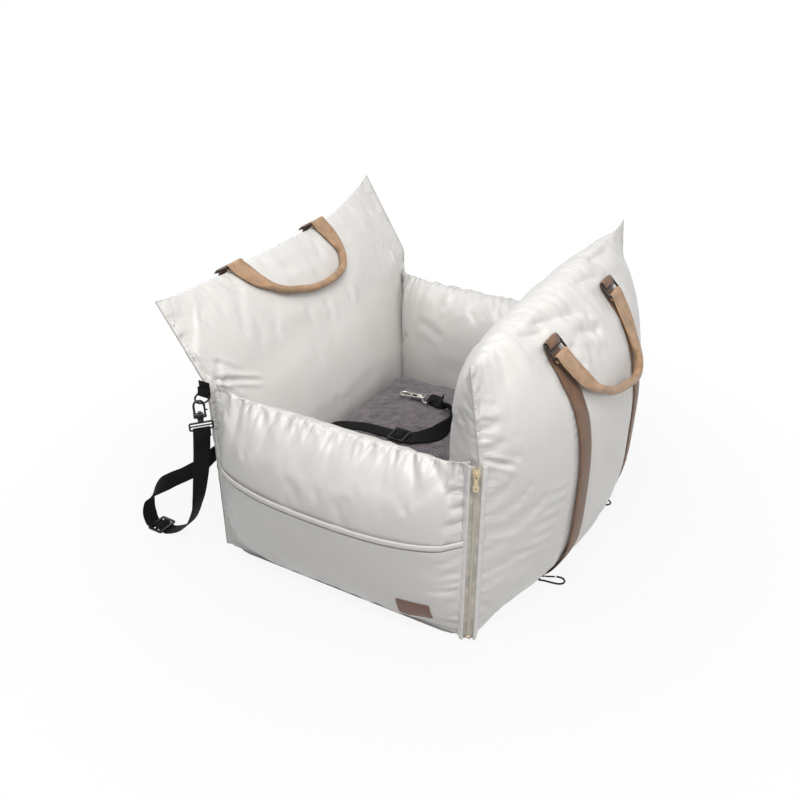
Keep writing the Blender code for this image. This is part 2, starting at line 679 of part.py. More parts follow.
def make_walls():
    ridge = (-RIGHT_LEAN - RIDGE_PAST, TALL_HEIGHT - RIDGE_LOW)
    outer, inner = tall_profiles(SIDE_IN, ridge, True)
    right = Cushion(
        "right_wall_cushion", 27, outer, inner, TALL_LEVELS, HALF_L, right_seam, tall_ends,
        lambda a, along, z: (HALF_W + a, along, z), 0.10, SEAM_SHARE,
    )
    ridge = (LEFT_LEAN + LEFT_RIDGE_PAST, TALL_HEIGHT - LEFT_RIDGE_LOW)
    outer, inner = tall_profiles(LEFT_IN, ridge, False)
    left = Cushion(
        "left_wall_cushion", 27, outer, inner, TALL_LEVELS, HALF_L, left_seam, tall_ends,
        lambda a, along, z: (-HALF_W - a, along, z), 0.0, SEAM_SHARE,
    )
    h, f, bottom = LOW_HEIGHT, FRONT_OUT, PANEL + GAP
    outer = [(0, bottom), (0.42 * f, 0.11 * h), (0.77 * f, 0.265 * h), (0.96 * f, 0.44 * h)]
    outer += [(f, 0.60 * h), (0.83 * f, 0.75 * h), (0.42 * f, 0.86 * h), (-LOW_RIDGE_IN, 0.922 * h)]
    inner = [(-FRONT_IN, bottom), (-FRONT_IN, 0.31 * h), (-FRONT_IN * 0.98, 0.56 * h)]
    inner += [(-FRONT_IN * 0.89, 0.75 * h), (-FRONT_IN * 0.6, 0.875 * h)]
    inner += [(-LOW_RIDGE_IN, 0.922 * h)]
    front = Cushion(
        "front_wall_cushion", 21, outer, inner, LOW_LEVELS, HALF_W - LOW_END, low_seam, low_ends,
        lambda a, along, z: (along, -HALF_L - a, z),
    )
    b, ridge = BACK_OUT, (-0.53 * BACK_IN, 0.972 * h)
    outer = [(0, bottom), (0.71 * b, 0.155 * h), (b, 0.34 * h), (0.9 * b, 0.53 * h)]
    outer += [(0.29 * b, 0.72 * h), (-0.19 * BACK_IN, 0.86 * h), ridge]
    inner = [(-BACK_IN, bottom), (-BACK_IN, 0.25 * h), (-BACK_IN * 0.99, 0.44 * h)]
    inner += [(-BACK_IN * 0.96, 0.60 * h), (-BACK_IN * 0.89, 0.78 * h)]
    inner += [(-BACK_IN * 0.75, 0.92 * h), ridge]
    back = Cushion(
        "back_wall_cushion", 21, outer, inner, LOW_LEVELS, HALF_W - LOW_END, low_seam, low_ends,
        lambda a, along, z: (along, HALF_L + a, z),
    )
    walls = {"right": right, "left": left, "front": front, "back": back}
    solids = {}
    for name, wall in walls.items():
        solids[name] = wall.build(wall.name, "shell_cloth", wall.stations)
    for low in ("front", "back"):
        cut(solids[low], right.cutter(), left.cutter())
    return walls, solids


def make_base():
    flat = Matrix.Identity(4)
    outline = rounded(BASE_WIDTH, BASE_LENGTH, PANEL_CORNER, 5)
    prism("base_panel", outline, 0.0, PANEL, flat, "panel_cloth")
    left, right = -HALF_W + LEFT_IN + PAD_GAP, HALF_W - SIDE_IN - PAD_GAP
    front, back = -HALF_L + FRONT_IN + PAD_GAP, HALF_L - BACK_IN - PAD_GAP
    middle = ((left + right) / 2, (front + back) / 2)
    wide, long = right - left, back - front
    outline = rounded(wide, long, PAD_CORNER * 0.7, 3, middle)
    prism("floor_cushion", outline, PANEL + GAP, FLOOR_TOP, flat, "panel_cloth")
    make_pad(middle, wide, long)


def make_pad(middle, wide, long):
    """The plush seat pad: crowned on top, with round edges and drawn-in sides."""
    bottom = FLOOR_TOP + GAP
    tall = PAD_TOP - bottom
    rings = []
    shape = ((0.90, 0.0), (0.985, 0.10), (1.0, 0.30), (1.0, 0.62), (0.985, 0.82))
    shape += ((0.94, 0.955), (0.84, 1.0))
    for share, up in shape:
        inset = (1 - share) * 0.5 * wide
        corner = max(0.012, PAD_CORNER - inset * 0.5)
        outline = rounded(wide - 2 * inset, long - 2 * inset, corner, 4, middle)
        ring = []
        for x, y in outline:
            u, v = (x - middle[0]) / (wide / 2), (y - middle[1]) / (long / 2)
            rise = PAD_CROWN * max(0, 1 - u * u) * max(0, 1 - v * v) if up > 0.9 else 0
            ring.append((x, y, bottom + up * tall + rise))
        rings.append(ring)
    for share in (0.66, 0.44, 0.22):
        ring = []
        for x, y, _ in rings[6]:
            px = middle[0] + (x - middle[0]) * share / 0.84
            py = middle[1] + (y - middle[1]) * share / 0.84
            u, v = (px - middle[0]) / (wide / 2), (py - middle[1]) / (long / 2)
            rise = PAD_CROWN * max(0, 1 - u * u) * max(0, 1 - v * v)
            ring.append((px, py, PAD_TOP + rise))
        rings.append(ring)
    count = len(rings[0])
    points = [p for ring in rings for p in ring]
    points += [(*middle, bottom), (*middle, PAD_TOP + PAD_CROWN)]
    faces = []
    for r in range(len(rings) - 1):
        for i in range(count):
            j = (i + 1) % count
            a, b = r * count, (r + 1) * count
            faces.append([a + i, a + j, b + j, b + i])
    last = (len(rings) - 1) * count
    for i in range(count):
        j = (i + 1) % count
        faces.append([i, len(points) - 2, j])
        faces.append([last + i, last + j, len(points) - 1])
    add("seat_pad", mesh_of("seat_pad", points, faces), "plush", True)


def make_pocket(front):
    """Outer pocket on the front wall with its bound edge."""
    mouth = float(np.interp(POCKET_SHARE, front.levels, range(len(front.levels))))
    us = [u for u in front.us if abs(u) < POCKET_WIDE]
    rows = [0.12, 0.5, 1.0, 1.5, 2.0, 2.5, 3.0, 3.5, mouth]
    near, far = [], []
    for k in rows:
        loose = POCKET_LOOSE * max(0.0, (k - 2.0) / (mouth - 2.0)) ** 2
        lift = [CLOTH_GAP + loose * (1 - (u / POCKET_WIDE) ** 4) for u in us]
        near.append([front.on_face(u, k, "outer", g - SINK) for u, g in zip(us, lift)])
        far.append(
            [front.on_face(u, k, "outer", g + POCKET_CLOTH) for u, g in zip(us, lift)]
        )
    cut(slab("pocket_panel", near, far, "shell_cloth"), front.cutter())
    low = mouth + 0.02
    step = HEM_TALL / (LOW_HEIGHT * (front.levels[5] - front.levels[4]))
    near, far = [], []
    for k in (low, low + step / 2, low + step):
        lift = [CLOTH_GAP + POCKET_LOOSE * (1 - (u / POCKET_WIDE) ** 4) for u in us]
        near.append([front.on_face(u, k, "outer", g - SINK) for u, g in zip(us, lift)])
        far.append(
            [front.on_face(u, k, "outer", g + HEM_THICK) for u, g in zip(us, lift)]
        )
    cut(slab("pocket_hem", near, far, "shell_cloth"), front.cutter())


def on_wall_at(cushion, x, z, side, off):
    """The point of a front or back wall's face that lies at x and z."""
    u = x / cushion.half
    best = None
    for k in np.linspace(0.1, len(cushion.levels) - 2, 120):
        p = cushion.on_face(u, k, side, off)
        if best is None or abs(p.z - z) < abs(best.z - z):
            best = p
    return best


def make_label(front):
    under = CLOTH_GAP + POCKET_CLOTH + 0.0010
    near, far = [], []
    for v in (-1, -0.5, 0, 0.5, 1):
        row_n, row_f = [], []
        for w in (-1, -0.5, 0, 0.5, 1):
            x, z = LABEL_X + w * LABEL_W / 2, LABEL_Z + v * LABEL_H / 2
            row_n.append(on_wall_at(front, x, z, "outer", under))
            row_f.append(on_wall_at(front, x, z, "outer", under + LABEL_THICK))
        near.append(row_n)
        far.append(row_f)
    slab("label_patch", near, far, "label_leather")


def zip_frame(height=0.0):
    """The zip's own axes: X across the tape, Y up it, Z away from the bed."""
    out = Vector((math.sin(ZIP_TURN), -math.cos(ZIP_TURN), 0))
    along = Vector((math.cos(ZIP_TURN), math.sin(ZIP_TURN), 0))
    place = Matrix((along, (0, 0, 1), out)).transposed().to_4x4()
    corner = Vector((HALF_W - 0.002, -HALF_L - 0.0015, height))
    return Matrix.Translation(corner) @ place


def make_zip(solids):
    low = PANEL + ZIP_FOOT
    tall = ZIP_TOP - low
    place = zip_frame()
    for name in ("front", "right"):
        bed = box(
            "cut_zip_" + name,
            (2 * (ZIP_TAPE + ZIP_BED), tall + 0.012, 0.060),
            place @ Matrix.Translation((0, low + tall / 2, 0.030)),
            "zip_tape",
            group=CUTTERS,
        )
        cut(solids[name], bed)
    inner = 0.0002
    for name, sign in (("zip_tape_front", -1), ("zip_tape_side", 1)):
        box(
            name,
            (ZIP_TAPE - inner, tall, ZIP_TAPE_THICK),
            place
            @ Matrix.Translation(
                (sign * (ZIP_TAPE + inner) / 2, low + tall / 2, GAP + ZIP_TAPE_THICK / 2)
            ),
            "zip_tape",
        )
    base = GAP + ZIP_TAPE_THICK + GAP
    teeth_low = low + 0.006
    count = int((tall - 0.008) / TOOTH_PITCH)
    outline = [(0, base)]
    for i in range(count):
        y = i * TOOTH_PITCH
        outline += [(y + 0.22 * TOOTH_PITCH, base + TOOTH_TALL)]
        outline += [(y + 0.66 * TOOTH_PITCH, base + TOOTH_TALL)]
        outline += [(y + 0.88 * TOOTH_PITCH, base + TOOTH_TALL * 0.45)]
    outline += [(count * TOOTH_PITCH, base + TOOTH_TALL * 0.45), (count * TOOTH_PITCH, base)]
    turn = Matrix(((0, 0, 1, 0), (1, 0, 0, 0), (0, 1, 0, 0), (0, 0, 0, 1)))
    at = place @ Matrix.Translation((0, teeth_low, 0)) @ turn
    prism("zip_teeth", outline, -TOOTH_WIDE / 2, TOOTH_WIDE / 2, at, "zip_tape")
    box(
        "zip_stop",
        (TOOTH_WIDE + 0.003, 0.003, TOOTH_TALL + 0.0006),
        place
        @ Matrix.Translation(
            (0, teeth_low - 0.0015 - GAP, base + TOOTH_TALL / 2 + 0.0003)
        ),
        "zip_metal",
        bevel=0.0004,
    )
    make_slider(place, base)


def make_slider(place, base):
    """Zip slider: a tapered shell over the teeth, with a bridge for the pull."""
    top = ZIP_TOP - 0.004
    inner_w = TOOTH_WIDE / 2 + TOOTH_ROOM
    inner_h = base + TOOTH_TALL + TOOTH_ROOM
    at = place @ Matrix.Translation((0, top - SLIDER_LONG, 0))
    wide_low, wide_top = inner_w + SLIDER_WALL, inner_w + SLIDER_WALL + 0.0012
    outline = [(-wide_low, 0), (wide_low, 0), (wide_top, SLIDER_LONG * 0.62)]
    outline += [(wide_top * 0.8, SLIDER_LONG), (-wide_top * 0.8, SLIDER_LONG)]
    outline += [(-wide_top, SLIDER_LONG * 0.62)]
    body = prism("zip_slider", outline, base, inner_h + SLIDER_WALL, at, "zip_metal")
    channel = box(
        "cut_channel",
        (2 * inner_w, SLIDER_LONG + 0.004, 2 * (inner_h - base)),
        at @ Matrix.Translation((0, SLIDER_LONG / 2, base)),
        "zip_metal",
        group=CUTTERS,
    )
    cut(body, channel)
    roof = inner_h + SLIDER_WALL
    arch = [
        (0, 0.0020, roof - 0.0004), (0, 0.0021, roof + 0.0022), (0, 0.0034, roof + 0.0034),
        (0, 0.0080, roof + 0.0034), (0, 0.0096, roof + 0.0022), (0, 0.0098, roof - 0.0004),
    ]
    bridge = tube("bridge", [at @ Vector(p) for p in arch], 0.0007, "zip_metal")
    union(body, bridge)
    pivot_y, pivot_z = 0.0046, roof + 0.0014
    reach = PULL_LONG
    outline = [(-PULL_WIDE * 0.36, PULL_TOP), (PULL_WIDE * 0.36, PULL_TOP)]
    outline += [(PULL_WIDE * 0.36, -reach * 0.50), (PULL_WIDE / 2, -reach * 0.62)]
    outline += [(PULL_WIDE / 2, -reach * 0.90), (PULL_WIDE * 0.32, -reach)]
    outline += [(-PULL_WIDE * 0.32, -reach), (-PULL_WIDE / 2, -reach * 0.90)]
    outline += [(-PULL_WIDE / 2, -reach * 0.62), (-PULL_WIDE * 0.36, -reach * 0.50)]
    pull_at = at @ Matrix.Translation((0, pivot_y, pivot_z))
    pull = prism(
        "zip_pull", outline, -PULL_THICK / 2, PULL_THICK / 2, pull_at, "zip_metal",
    )
    hole = prism(
        "cut_eye", rounded(0.0026, 0.0052, 0.0008, 2, (0, -0.0025)), -0.01, 0.01, pull_at,
        "zip_metal", group=CUTTERS,
    )
    low_hole = prism(
        "cut_hole", rounded(0.0024, 0.0024, 0.0011, 3, (0, -reach * 0.80)), -0.01, 0.01,
        pull_at, "zip_metal", group=CUTTERS,
    )
    cut(pull, hole, low_hole)
    turn_about("zip_pull", pull_at.translation)
    turn_about("zip_slider", at.translation)


def track(cushion, u, first, last, off):
    """Points up one face of a wall, over its ridge and down the other face.

    Levels run from first, on the outer face, to last, counted on past the ridge.
    """
    top = len(cushion.levels) - 1
    marks = np.arange(math.ceil(first), math.floor(last) + 1)
    levels = sorted({first, last, *[float(m) for m in marks]})
    out = []
    for level in levels:
        if level <= top:
            out.append(cushion.on_face(u, level, "outer", off))
        else:
            out.append(cushion.on_face(u, 2 * top - level, "inner", off))
    return out


def place_at(origin, x, z):
    """A placing with its Z along z and its X as near to x as that leaves."""
    z = Vector(z).normalized()
    x = Vector(x)
    x -= z * x.dot(z)
    x.normalize()
    y = z.cross(x)
    turn = Matrix((x, y, z)).transposed().to_4x4()
    return Matrix.Translation(Vector(origin)) @ turn


def make_strap(name, cushion, y, first, bar_level, lift):
    """A carry strap up the outer face of a wall, ending in a loop for the buckle.

    Returns the loop's centre, the direction on from there and the way off the wall.
    """
    us = [(y + w * STRAP_WIDE / 2) / cushion.half for w in (-1, 0, 1)]
    near = [track(cushion, u, first, bar_level, CLOTH_GAP - SINK) for u in us]
    far = [track(cushion, u, first, bar_level, CLOTH_GAP + STRAP_THICK) for u in us]
    here = track(cushion, 0.0, first, bar_level, 0.0)
    above = track(cushion, 0.0, first, bar_level, 1.0)
    ahead = here[-1] - here[-2]
    ahead.y = 0
    ahead.normalize()
    out = above[-1] - here[-1]
    out.y = 0
    out -= ahead * out.dot(ahead)
    out.normalize()
    clear = BAR_R + 2 * GAP
    bar = Vector((here[-1].x, y, here[-1].z)) + out * (lift + clear + STRAP_THICK)
    near = [list(row) for row in zip(*near)][:-1]
    far = [list(row) for row in zip(*far)][:-1]
    side = Vector((0, STRAP_WIDE / 2, 0))
    outer, inner = loop_rows(bar, -out, ahead, clear, STRAP_THICK, side)
    near += outer
    far += inner
    for back, drop in ((0.004, 0.0004), (0.009, 0.0014)):
        p = bar - ahead * back + out * (clear - drop)
        near.append([p + out * STRAP_THICK + side * w for w in (-1, 0, 1)])
        far.append([p + side * w for w in (-1, 0, 1)])
    cut(slab(name, near, far, "brown_strap"), cushion.cutter())
    return bar, ahead, out


def settle(tree, bar, down, out, clear):
    """Turns a buckle's direction until its lower bar is close to the wall."""
    best = None
    for degrees in range(-60, 41):
        a = math.radians(degrees)
        way = down * math.cos(a) + out * math.sin(a)
        p = bar + way * BUCKLE_LONG
        at, normal, _, _ = tree.find_nearest(p)
        high = (p - at).dot(normal)
        if best is None or abs(high - clear) < best[0]:
            best = (abs(high - clear), way.normalized(), normal)
    way, up = best[1], best[2]
    up = Vector((up.x, 0, up.z))
    up -= way * up.dot(way)
    return way, up.normalized()


def make_buckle(name, bar, down):
    """A three-bar slide: a bent wire ring with a middle bar."""
    y = Vector((0, 1, 0))
    half = BUCKLE_WIDE / 2
    corner = BUCKLE_CORNER
    points = []
    for sx, sy in ((0, -1), (0, 1), (1, 1), (1, -1)):
        at = bar + down * (BUCKLE_LONG * sx) + y * (half * sy)
        inx = down * (corner if sx == 0 else -corner)
        iny = y * (-corner * sy)
        pair = [at + iny, at + (inx + iny) * 0.29, at + inx]
        if (sx == 0) == (sy == -1):
            pair.reverse()
        points += pair
    ring = tube(name, points, BAR_R, "black_metal", closed=True)
    middle = bar + down * (BUCKLE_LONG * 0.5)
    bar_end = y * (half - BAR_R * 0.2)
    centre_bar = rod(
        name + "_bar", middle - bar_end, middle + bar_end, BUCKLE_MIDDLE_R, "black_metal", 8
    )
    union(ring, centre_bar)
    return bar + down * BUCKLE_LONG


def push_off(tree, points, clear, hug=False):
    """Moves points off a surface to the clearance, or on to it where they hug it."""
    out = []
    for p in points:
        p = Vector(p)
        for _ in range(3):
            at, normal, _, _ = tree.find_nearest(p)
            high = (p - at).dot(normal)
            if high < clear or hug:
                p = p + normal * (clear - high)
        out.append(p)
    return out


def make_handle(name, tree, bars, down, out, grip, rest):
    """Carry handle: webbing sewn round both lower bars, rolled into a round grip.

    It lies on its wall, or on the straps there, at the distance rest.
    """
    clear = BAR_R + 2 * GAP
    line = smooth_line(grip, 33)
    radii = []
    for i in range(33):
        share = min(i, 32 - i) / 32
        radii.append(blend(GRIP_END_R, GRIP_R, min(1.0, share / 0.13)))
    points = push_off(tree, line, GRIP_R + rest)
    handle = tube(name, points, GRIP_R, "tan_webbing", radii=radii, fine=2)
    side = Vector((0, TAB_WIDE / 2, 0))
    for end, bar in enumerate(bars):
        tip = points[4] if end == 0 else points[-5]
        p = bar + down * 0.0065 - out * (clear - 0.0004)
        near = [[p - out * STRAP_THICK + side * w for w in (-1, 0, 1)]]
        far = [[p + side * w for w in (-1, 0, 1)]]
        outer, inner = loop_rows(bar, -out, -down, clear, STRAP_THICK, side)
        near += outer
        far += inner
        first = bar + down * (clear + 0.005) + out * (clear - 0.0002)
        reach = tip - first
        for share, wide in ((0.0, 1.0), (0.35, 0.98), (0.62, 0.80), (0.85, 0.45), (1.0, 0.2)):
            p = push_off(tree, [first + reach * share], rest + 0.0014)[0]
            over = out * (STRAP_THICK * 0.5 + 0.0006 * share)
            near.append([p + over + side * (w * wide) for w in (-1, 0, 1)])
            far.append([p - over + side * (w * wide) for w in (-1, 0, 1)])
        union(handle, slab(f"{name}_tab{end}", near, far, "tan_webbing"))
    return handle


def d_ring(name, at, wide, deep, radius, look):
    """A D-shaped wire ring: the bar lies along X at the placing's origin."""
    round_part = wide / 2
    points = [at @ Vector((x, 0, 0)) for x in (-round_part + 0.002, round_part - 0.002)]
    points.append(at @ Vector((round_part - 0.0006, 0, 0.0006)))
    for a in range(0, 181, 20):
        r = math.radians(a)
        points.append(
            at @ Vector(
                (round_part * math.cos(r), 0, max(0.002, deep - 0.010) + 0.010 * math.sin(r))
            )
        )
    points.append(at @ Vector((-round_part + 0.0006, 0, 0.0006)))
    return tube(name, points, radius, look, closed=True)


def ellipse_arc(cx, cz, rx, rz, first, last, count):
    out = []
    for a in np.linspace(first, last, count):
        r = math.radians(a)
        out.append((cx + rx * math.cos(r), 0, cz + rz * math.sin(r)))
    return out


def make_belt_tab():
    """Sewn tab at the front left corner with its D-ring."""
    x, y, top = TAB_AT
    clear = D_WIRE_R + GAP
    bar = Vector((x, y - STRAP_THICK - clear, top - TAB_TALL))
    side = Vector((D_WIDE / 2 - D_WIRE_R - GAP, 0, 0))
    outer, inner = loop_rows(
        bar, Vector((0, 1, 0)), Vector((0, 0, -1)), clear, STRAP_THICK, side
    )
    head = Vector((x, y, top))
    near = [[head + side * w for w in (-1, 0, 1)]] + outer
    thick = Vector((0, -STRAP_THICK, 0))
    far = [[head + thick + side * w for w in (-1, 0, 1)]] + inner
    for up, back in ((0.006, 0.0012), (0.013, clear + 0.0)):
        p = bar + Vector((0, -clear - STRAP_THICK + back, up))
        near.append([p + side * w for w in (-1, 0, 1)])
        far.append([p - thick + side * w for w in (-1, 0, 1)])
    slab("belt_tab", near, far, "black_webbing")
    hang = Vector((0, -math.sin(D_TILT), -math.cos(D_TILT)))
    d_ring(
        "belt_d_ring", place_at(bar, (1, 0, 0), hang), D_WIDE, D_DEEP, D_WIRE_R,
        "black_metal",
    )
    turn_about("belt_d_ring", bar)
    return bar + hang * D_DEEP


def make_belt_hook(at):
    """Snap hook on a swivel. Its bow's inside top hangs over the placing's origin."""
    top = D_WIRE_R + GAP + BOW_R
    arc = ellipse_arc(0, -0.0040, BOW_HALF, top + 0.0040, 180, 0, 11)
    path = [(-BOW_HALF, 0, -0.019), (-BOW_HALF, 0, -0.010)] + arc + [(BOW_HALF, 0, -0.0068)]
    body = tube("belt_hook_body", [at @ Vector(p) for p in path], BOW_R, "black_metal")
    block = box(
        "hook_block", (0.0200, 0.0062, 0.0080), at @ Matrix.Translation((0, 0, -0.0215)),
        "black_metal", bevel=0.0012,
    )
    barrel = rod(
        "hook_barrel", at @ Vector((0, 0, -0.0245)), at @ Vector((0, 0, -0.0315)),
        BARREL_R, "black_metal", 16, tip=BARREL_TIP_R,
    )
    union(body, block, barrel)
    bore = rod(
        "cut_bore", at @ Vector((0, 0, -0.010)), at @ Vector((0, 0, -0.040)),
        STEM_R + STEM_ROOM, "black_metal", 16, CUTTERS,
    )
    notch = box(
        "cut_notch", (0.0072, 0.0100, 0.0052),
        at @ Matrix.Translation((0.0086, 0, -0.0189)), "black_metal", group=CUTTERS,
    )
    cut(body, bore, notch)
    gate = tube(
        "belt_hook_gate",
        [at @ Vector((GATE_X, 0, z)) for z in (-0.0074, -0.012, -0.016, -0.0200)],
        GATE_R, "black_metal",
    )
    nub = rod(
        "gate_nub", at @ Vector((GATE_X, 0, -0.0125)), at @ Vector((0.0122, 0, -0.0135)),
        0.0013, "black_metal", 8,
    )
    union(gate, nub)
    stem = rod(
        "belt_swivel", at @ Vector((0, 0, -0.0168)), at @ Vector((0, 0, -STEM_LOW)), STEM_R,
        "black_metal", 12,
    )
    head = rod(
        "stem_head", at @ Vector((0, 0, -0.0155)), at @ Vector((0, 0, -0.0172)),
        STEM_HEAD_R, "black_metal", 12,
    )
    half, low, high = FRAME_HALF, -FRAME_LOW, -STEM_LOW
    corner = 0.002
    ring = []
    for x, z, dx, dz in (
        (-half, low, 1, 1), (half, low, -1, 1), (half, high, -1, -1), (-half, high, 1, -1),
    ):
        a, b = (x + dx * corner, 0, z), (x, 0, z + dz * corner)
        m = (x + dx * corner * 0.29, 0, z + dz * corner * 0.29)
        ring += [b, m, a] if (dx > 0) == (dz > 0) else [a, m, b]
    frame = tube(
        "swivel_frame", [at @ Vector(p) for p in ring], FRAME_R, "black_metal", closed=True
    )
    mid_bar = rod(
        "frame_bar", at @ Vector((-half, 0, -FRAME_MIDDLE)),
        at @ Vector((half, 0, -FRAME_MIDDLE)), FRAME_MIDDLE_R, "black_metal", 8,
    )
    union(frame, mid_bar)
    union(stem, head, frame)
    turn_about("belt_hook_body", at.translation)
    turn_about("belt_swivel", at.translation)
    turn_about("belt_hook_gate", at @ Vector((GATE_X, 0, GATE_FOOT)))


def make_slide(name, at, ahead, up, wide, long, look):
    """A flat adjuster with two slots, lying across the webbing."""
    ahead, up = Vector(ahead).normalized(), Vector(up)
    up = (up - ahead * up.dot(ahead)).normalized()
    side = ahead.cross(up)
    place = Matrix.Translation(at) @ Matrix((side, -ahead, up)).transposed().to_4x4()
    plate = prism(name, rounded(wide, long, 0.0030, 3), -SLIDE_HALF, SLIDE_HALF, place, look)
    slot = (long - 3 * SLIDE_BAR) / 2
    for sign in (-1, 1):
        hole = prism(
            "cut_slot",
            rounded(wide - 2 * SLIDE_BAR, slot, 0.0008, 2, (0, sign * (slot + SLIDE_BAR) / 2)),
            -0.01, 0.01, place, look, group=CUTTERS,
        )
        cut(plate, hole)


def weave(path, across, at, ahead, up, long):
    """Leads webbing under a slide's end bars and over its middle bar."""
    ahead, up = Vector(ahead).normalized(), Vector(up)
    up = (up - ahead * up.dot(ahead)).normalized()
    rise = SLIDE_HALF + WEB_THICK / 2 + 2 * GAP
    flat = ahead.cross(up)
    new = [Vector(at) + ahead * a * long + up * b * rise for a, b in SLIDE_WAY]
    keep_path, keep_across, placed = [], [], False
    for p, side in zip(path, across):
        offset = Vector(p) - Vector(at)
        if abs(offset.dot(ahead)) < long * 0.78 and offset.length < long:
            if not placed:
                if flat.dot(Vector(side)) < 0:
                    flat = -flat
                keep_path += new
                keep_across += [flat] * len(new)
                placed = True
            continue
        keep_path.append(Vector(p))
        keep_across.append(side)
    return keep_path, keep_across


def even_twist(path, across, marks):
    """Spreads the listed directions across along a finer path."""
    fine = np.array([tuple(p) for p in path])
    gone = np.concatenate([[0], np.cumsum(np.linalg.norm(np.diff(fine, axis=0), axis=1))])
    return [Vector([np.interp(g, marks, [a[k] for a in across]) for k in range(3)])
            for g in gone]


def marks_of(points, path):
    """How far along a fine path each of the listed points lies."""
    fine = np.array([tuple(p) for p in path])
    gone = np.concatenate([[0], np.cumsum(np.linalg.norm(np.diff(fine, axis=0), axis=1))])
    out = []
    for p in points:
        out.append(gone[np.argmin(np.linalg.norm(fine - np.array(p), axis=1))])
    return out


def by_left_wall(place):
    """A place given from the left seam and by its share of the bed's half length."""
    out, share, high = place
    return Vector((-HALF_W - out, share * HALF_L, high))


def make_belt(tree, hook_at):
    """Webbing of the belt, from the swivel frame to the rear left corner."""
    hang = hook_at @ Vector((0, 0, -FRAME_LOW))
    side = hook_at.to_3x3() @ Vector((1, 0, 0))
    out = hook_at.to_3x3() @ Vector((0, -1, 0))
    if out.y > 0:
        out = -out
    clear = FRAME_R + GAP
    listed = [hang - out * (clear + WEB_THICK / 2)] + [by_left_wall(p) for p in BELT_PATH]
    slide_at = by_left_wall(BELT_SLIDE_AT)
    path = [Vector(p) for p in smooth_line(listed, 60)]
    marks = marks_of(listed, path)
    sides = [side] + [Vector(a) for a in BELT_ACROSS]
    across = even_twist(path, sides, marks)
    on_wall = [i for i, p in enumerate(path) if p.y > BELT_ON_WALL * HALF_L]
    for i in on_wall:
        path[i] = push_off(tree, [path[i]], BELT_OFF_WALL, hug=True)[0]
    path, across = weave(
        path, across, slide_at, BELT_SLIDE_WAY, (0, 0, 1), SLIDE_LONG
    )
    top, under = ribbon_rows(path, across, WEB_WIDE, WEB_THICK)
    half = side * WEB_WIDE / 2
    outer, inner = loop_rows(hang, out, Vector((0, 0, 1)), clear, WEB_THICK, half)
    tail = hang - Vector((0, 0, 0.014)) + out * (clear * 0.2)
    row_out = [tail + out * WEB_THICK + half * w for w in (-1, 0, 1)]
    row_in = [tail + half * w for w in (-1, 0, 1)]
    one, two = [row_out] + outer, [row_in] + inner
    gap_one = (Vector(top[1][1]) - outer[-1][1]).length
    gap_two = (Vector(under[1][1]) - outer[-1][1]).length
    if gap_one < gap_two:
        slab("belt_webbing", one + top[1:], two + under[1:], "black_webbing")
    else:
        slab("belt_webbing", one + under[1:], two + top[1:], "black_webbing")
    make_slide(
        "belt_adjuster", slide_at, BELT_SLIDE_WAY, (0, 0, 1), SLIDE_WIDE, SLIDE_LONG,
        "black_plastic",
    )


def make_floor_hook(name, y, sign, turn):
    """A wire snap hook on a short loop that comes out from under a tall wall."""
    x = HALF_W + FLOOR_HOOK_OUT
    bar = Vector((sign * x, y, LOOP_WEB + 2 * GAP + FLOOR_WIRE_R + 0.0003))
    up = Vector((0, 0, 1))
    a = math.radians(turn)
    way = Vector((sign * math.cos(a), math.sin(a), 0))
    side = up.cross(way) * (LOOP_WIDE / 2)
    clear = FLOOR_WIRE_R + GAP
    reach = HALF_W + GAP + abs(math.sin(a)) * LOOP_WIDE / 2
    seam = Vector((sign * reach, y - math.sin(a) * (x - HALF_W), 0.0014))
    near, far = [], []
    for share, z in ((0.0, 0.0014), (0.5, 0.0024), (0.86, 0.0044)):
        p = seam.lerp(bar, share)
        p.z = z
        near.append([p + up * LOOP_WEB / 2 + side * w for w in (-1, 0, 1)])
        far.append([p - up * LOOP_WEB / 2 + side * w for w in (-1, 0, 1)])
    outer, inner = loop_rows(bar, up, way, clear, LOOP_WEB, side)
    near += outer
    far += inner
    p = bar - way * 0.0065 - up * (clear + LOOP_WEB / 2)
    near.append([p - up * LOOP_WEB / 2 + side * w for w in (-1, 0, 1)])
    far.append([p + up * LOOP_WEB / 2 + side * w for w in (-1, 0, 1)])
    slab(name + "_loop", near, far, "black_webbing")
    at = place_at(bar, up.cross(way), way)
    tube(name + "_body", [at @ Vector((u, 0, v)) for u, v in HOOK_WIRE], FLOOR_WIRE_R,
         "black_metal")
    tube(name + "_gate", [at @ Vector((u, 0, v)) for u, v in HOOK_GATE],
         FLOOR_WIRE_R * 0.85, "black_metal")
    turn_about(name + "_body", bar)
    turn_about(name + "_gate", at @ Vector((HOOK_GATE[0][0], 0, HOOK_GATE[0][1] + 0.0006)))
    return at


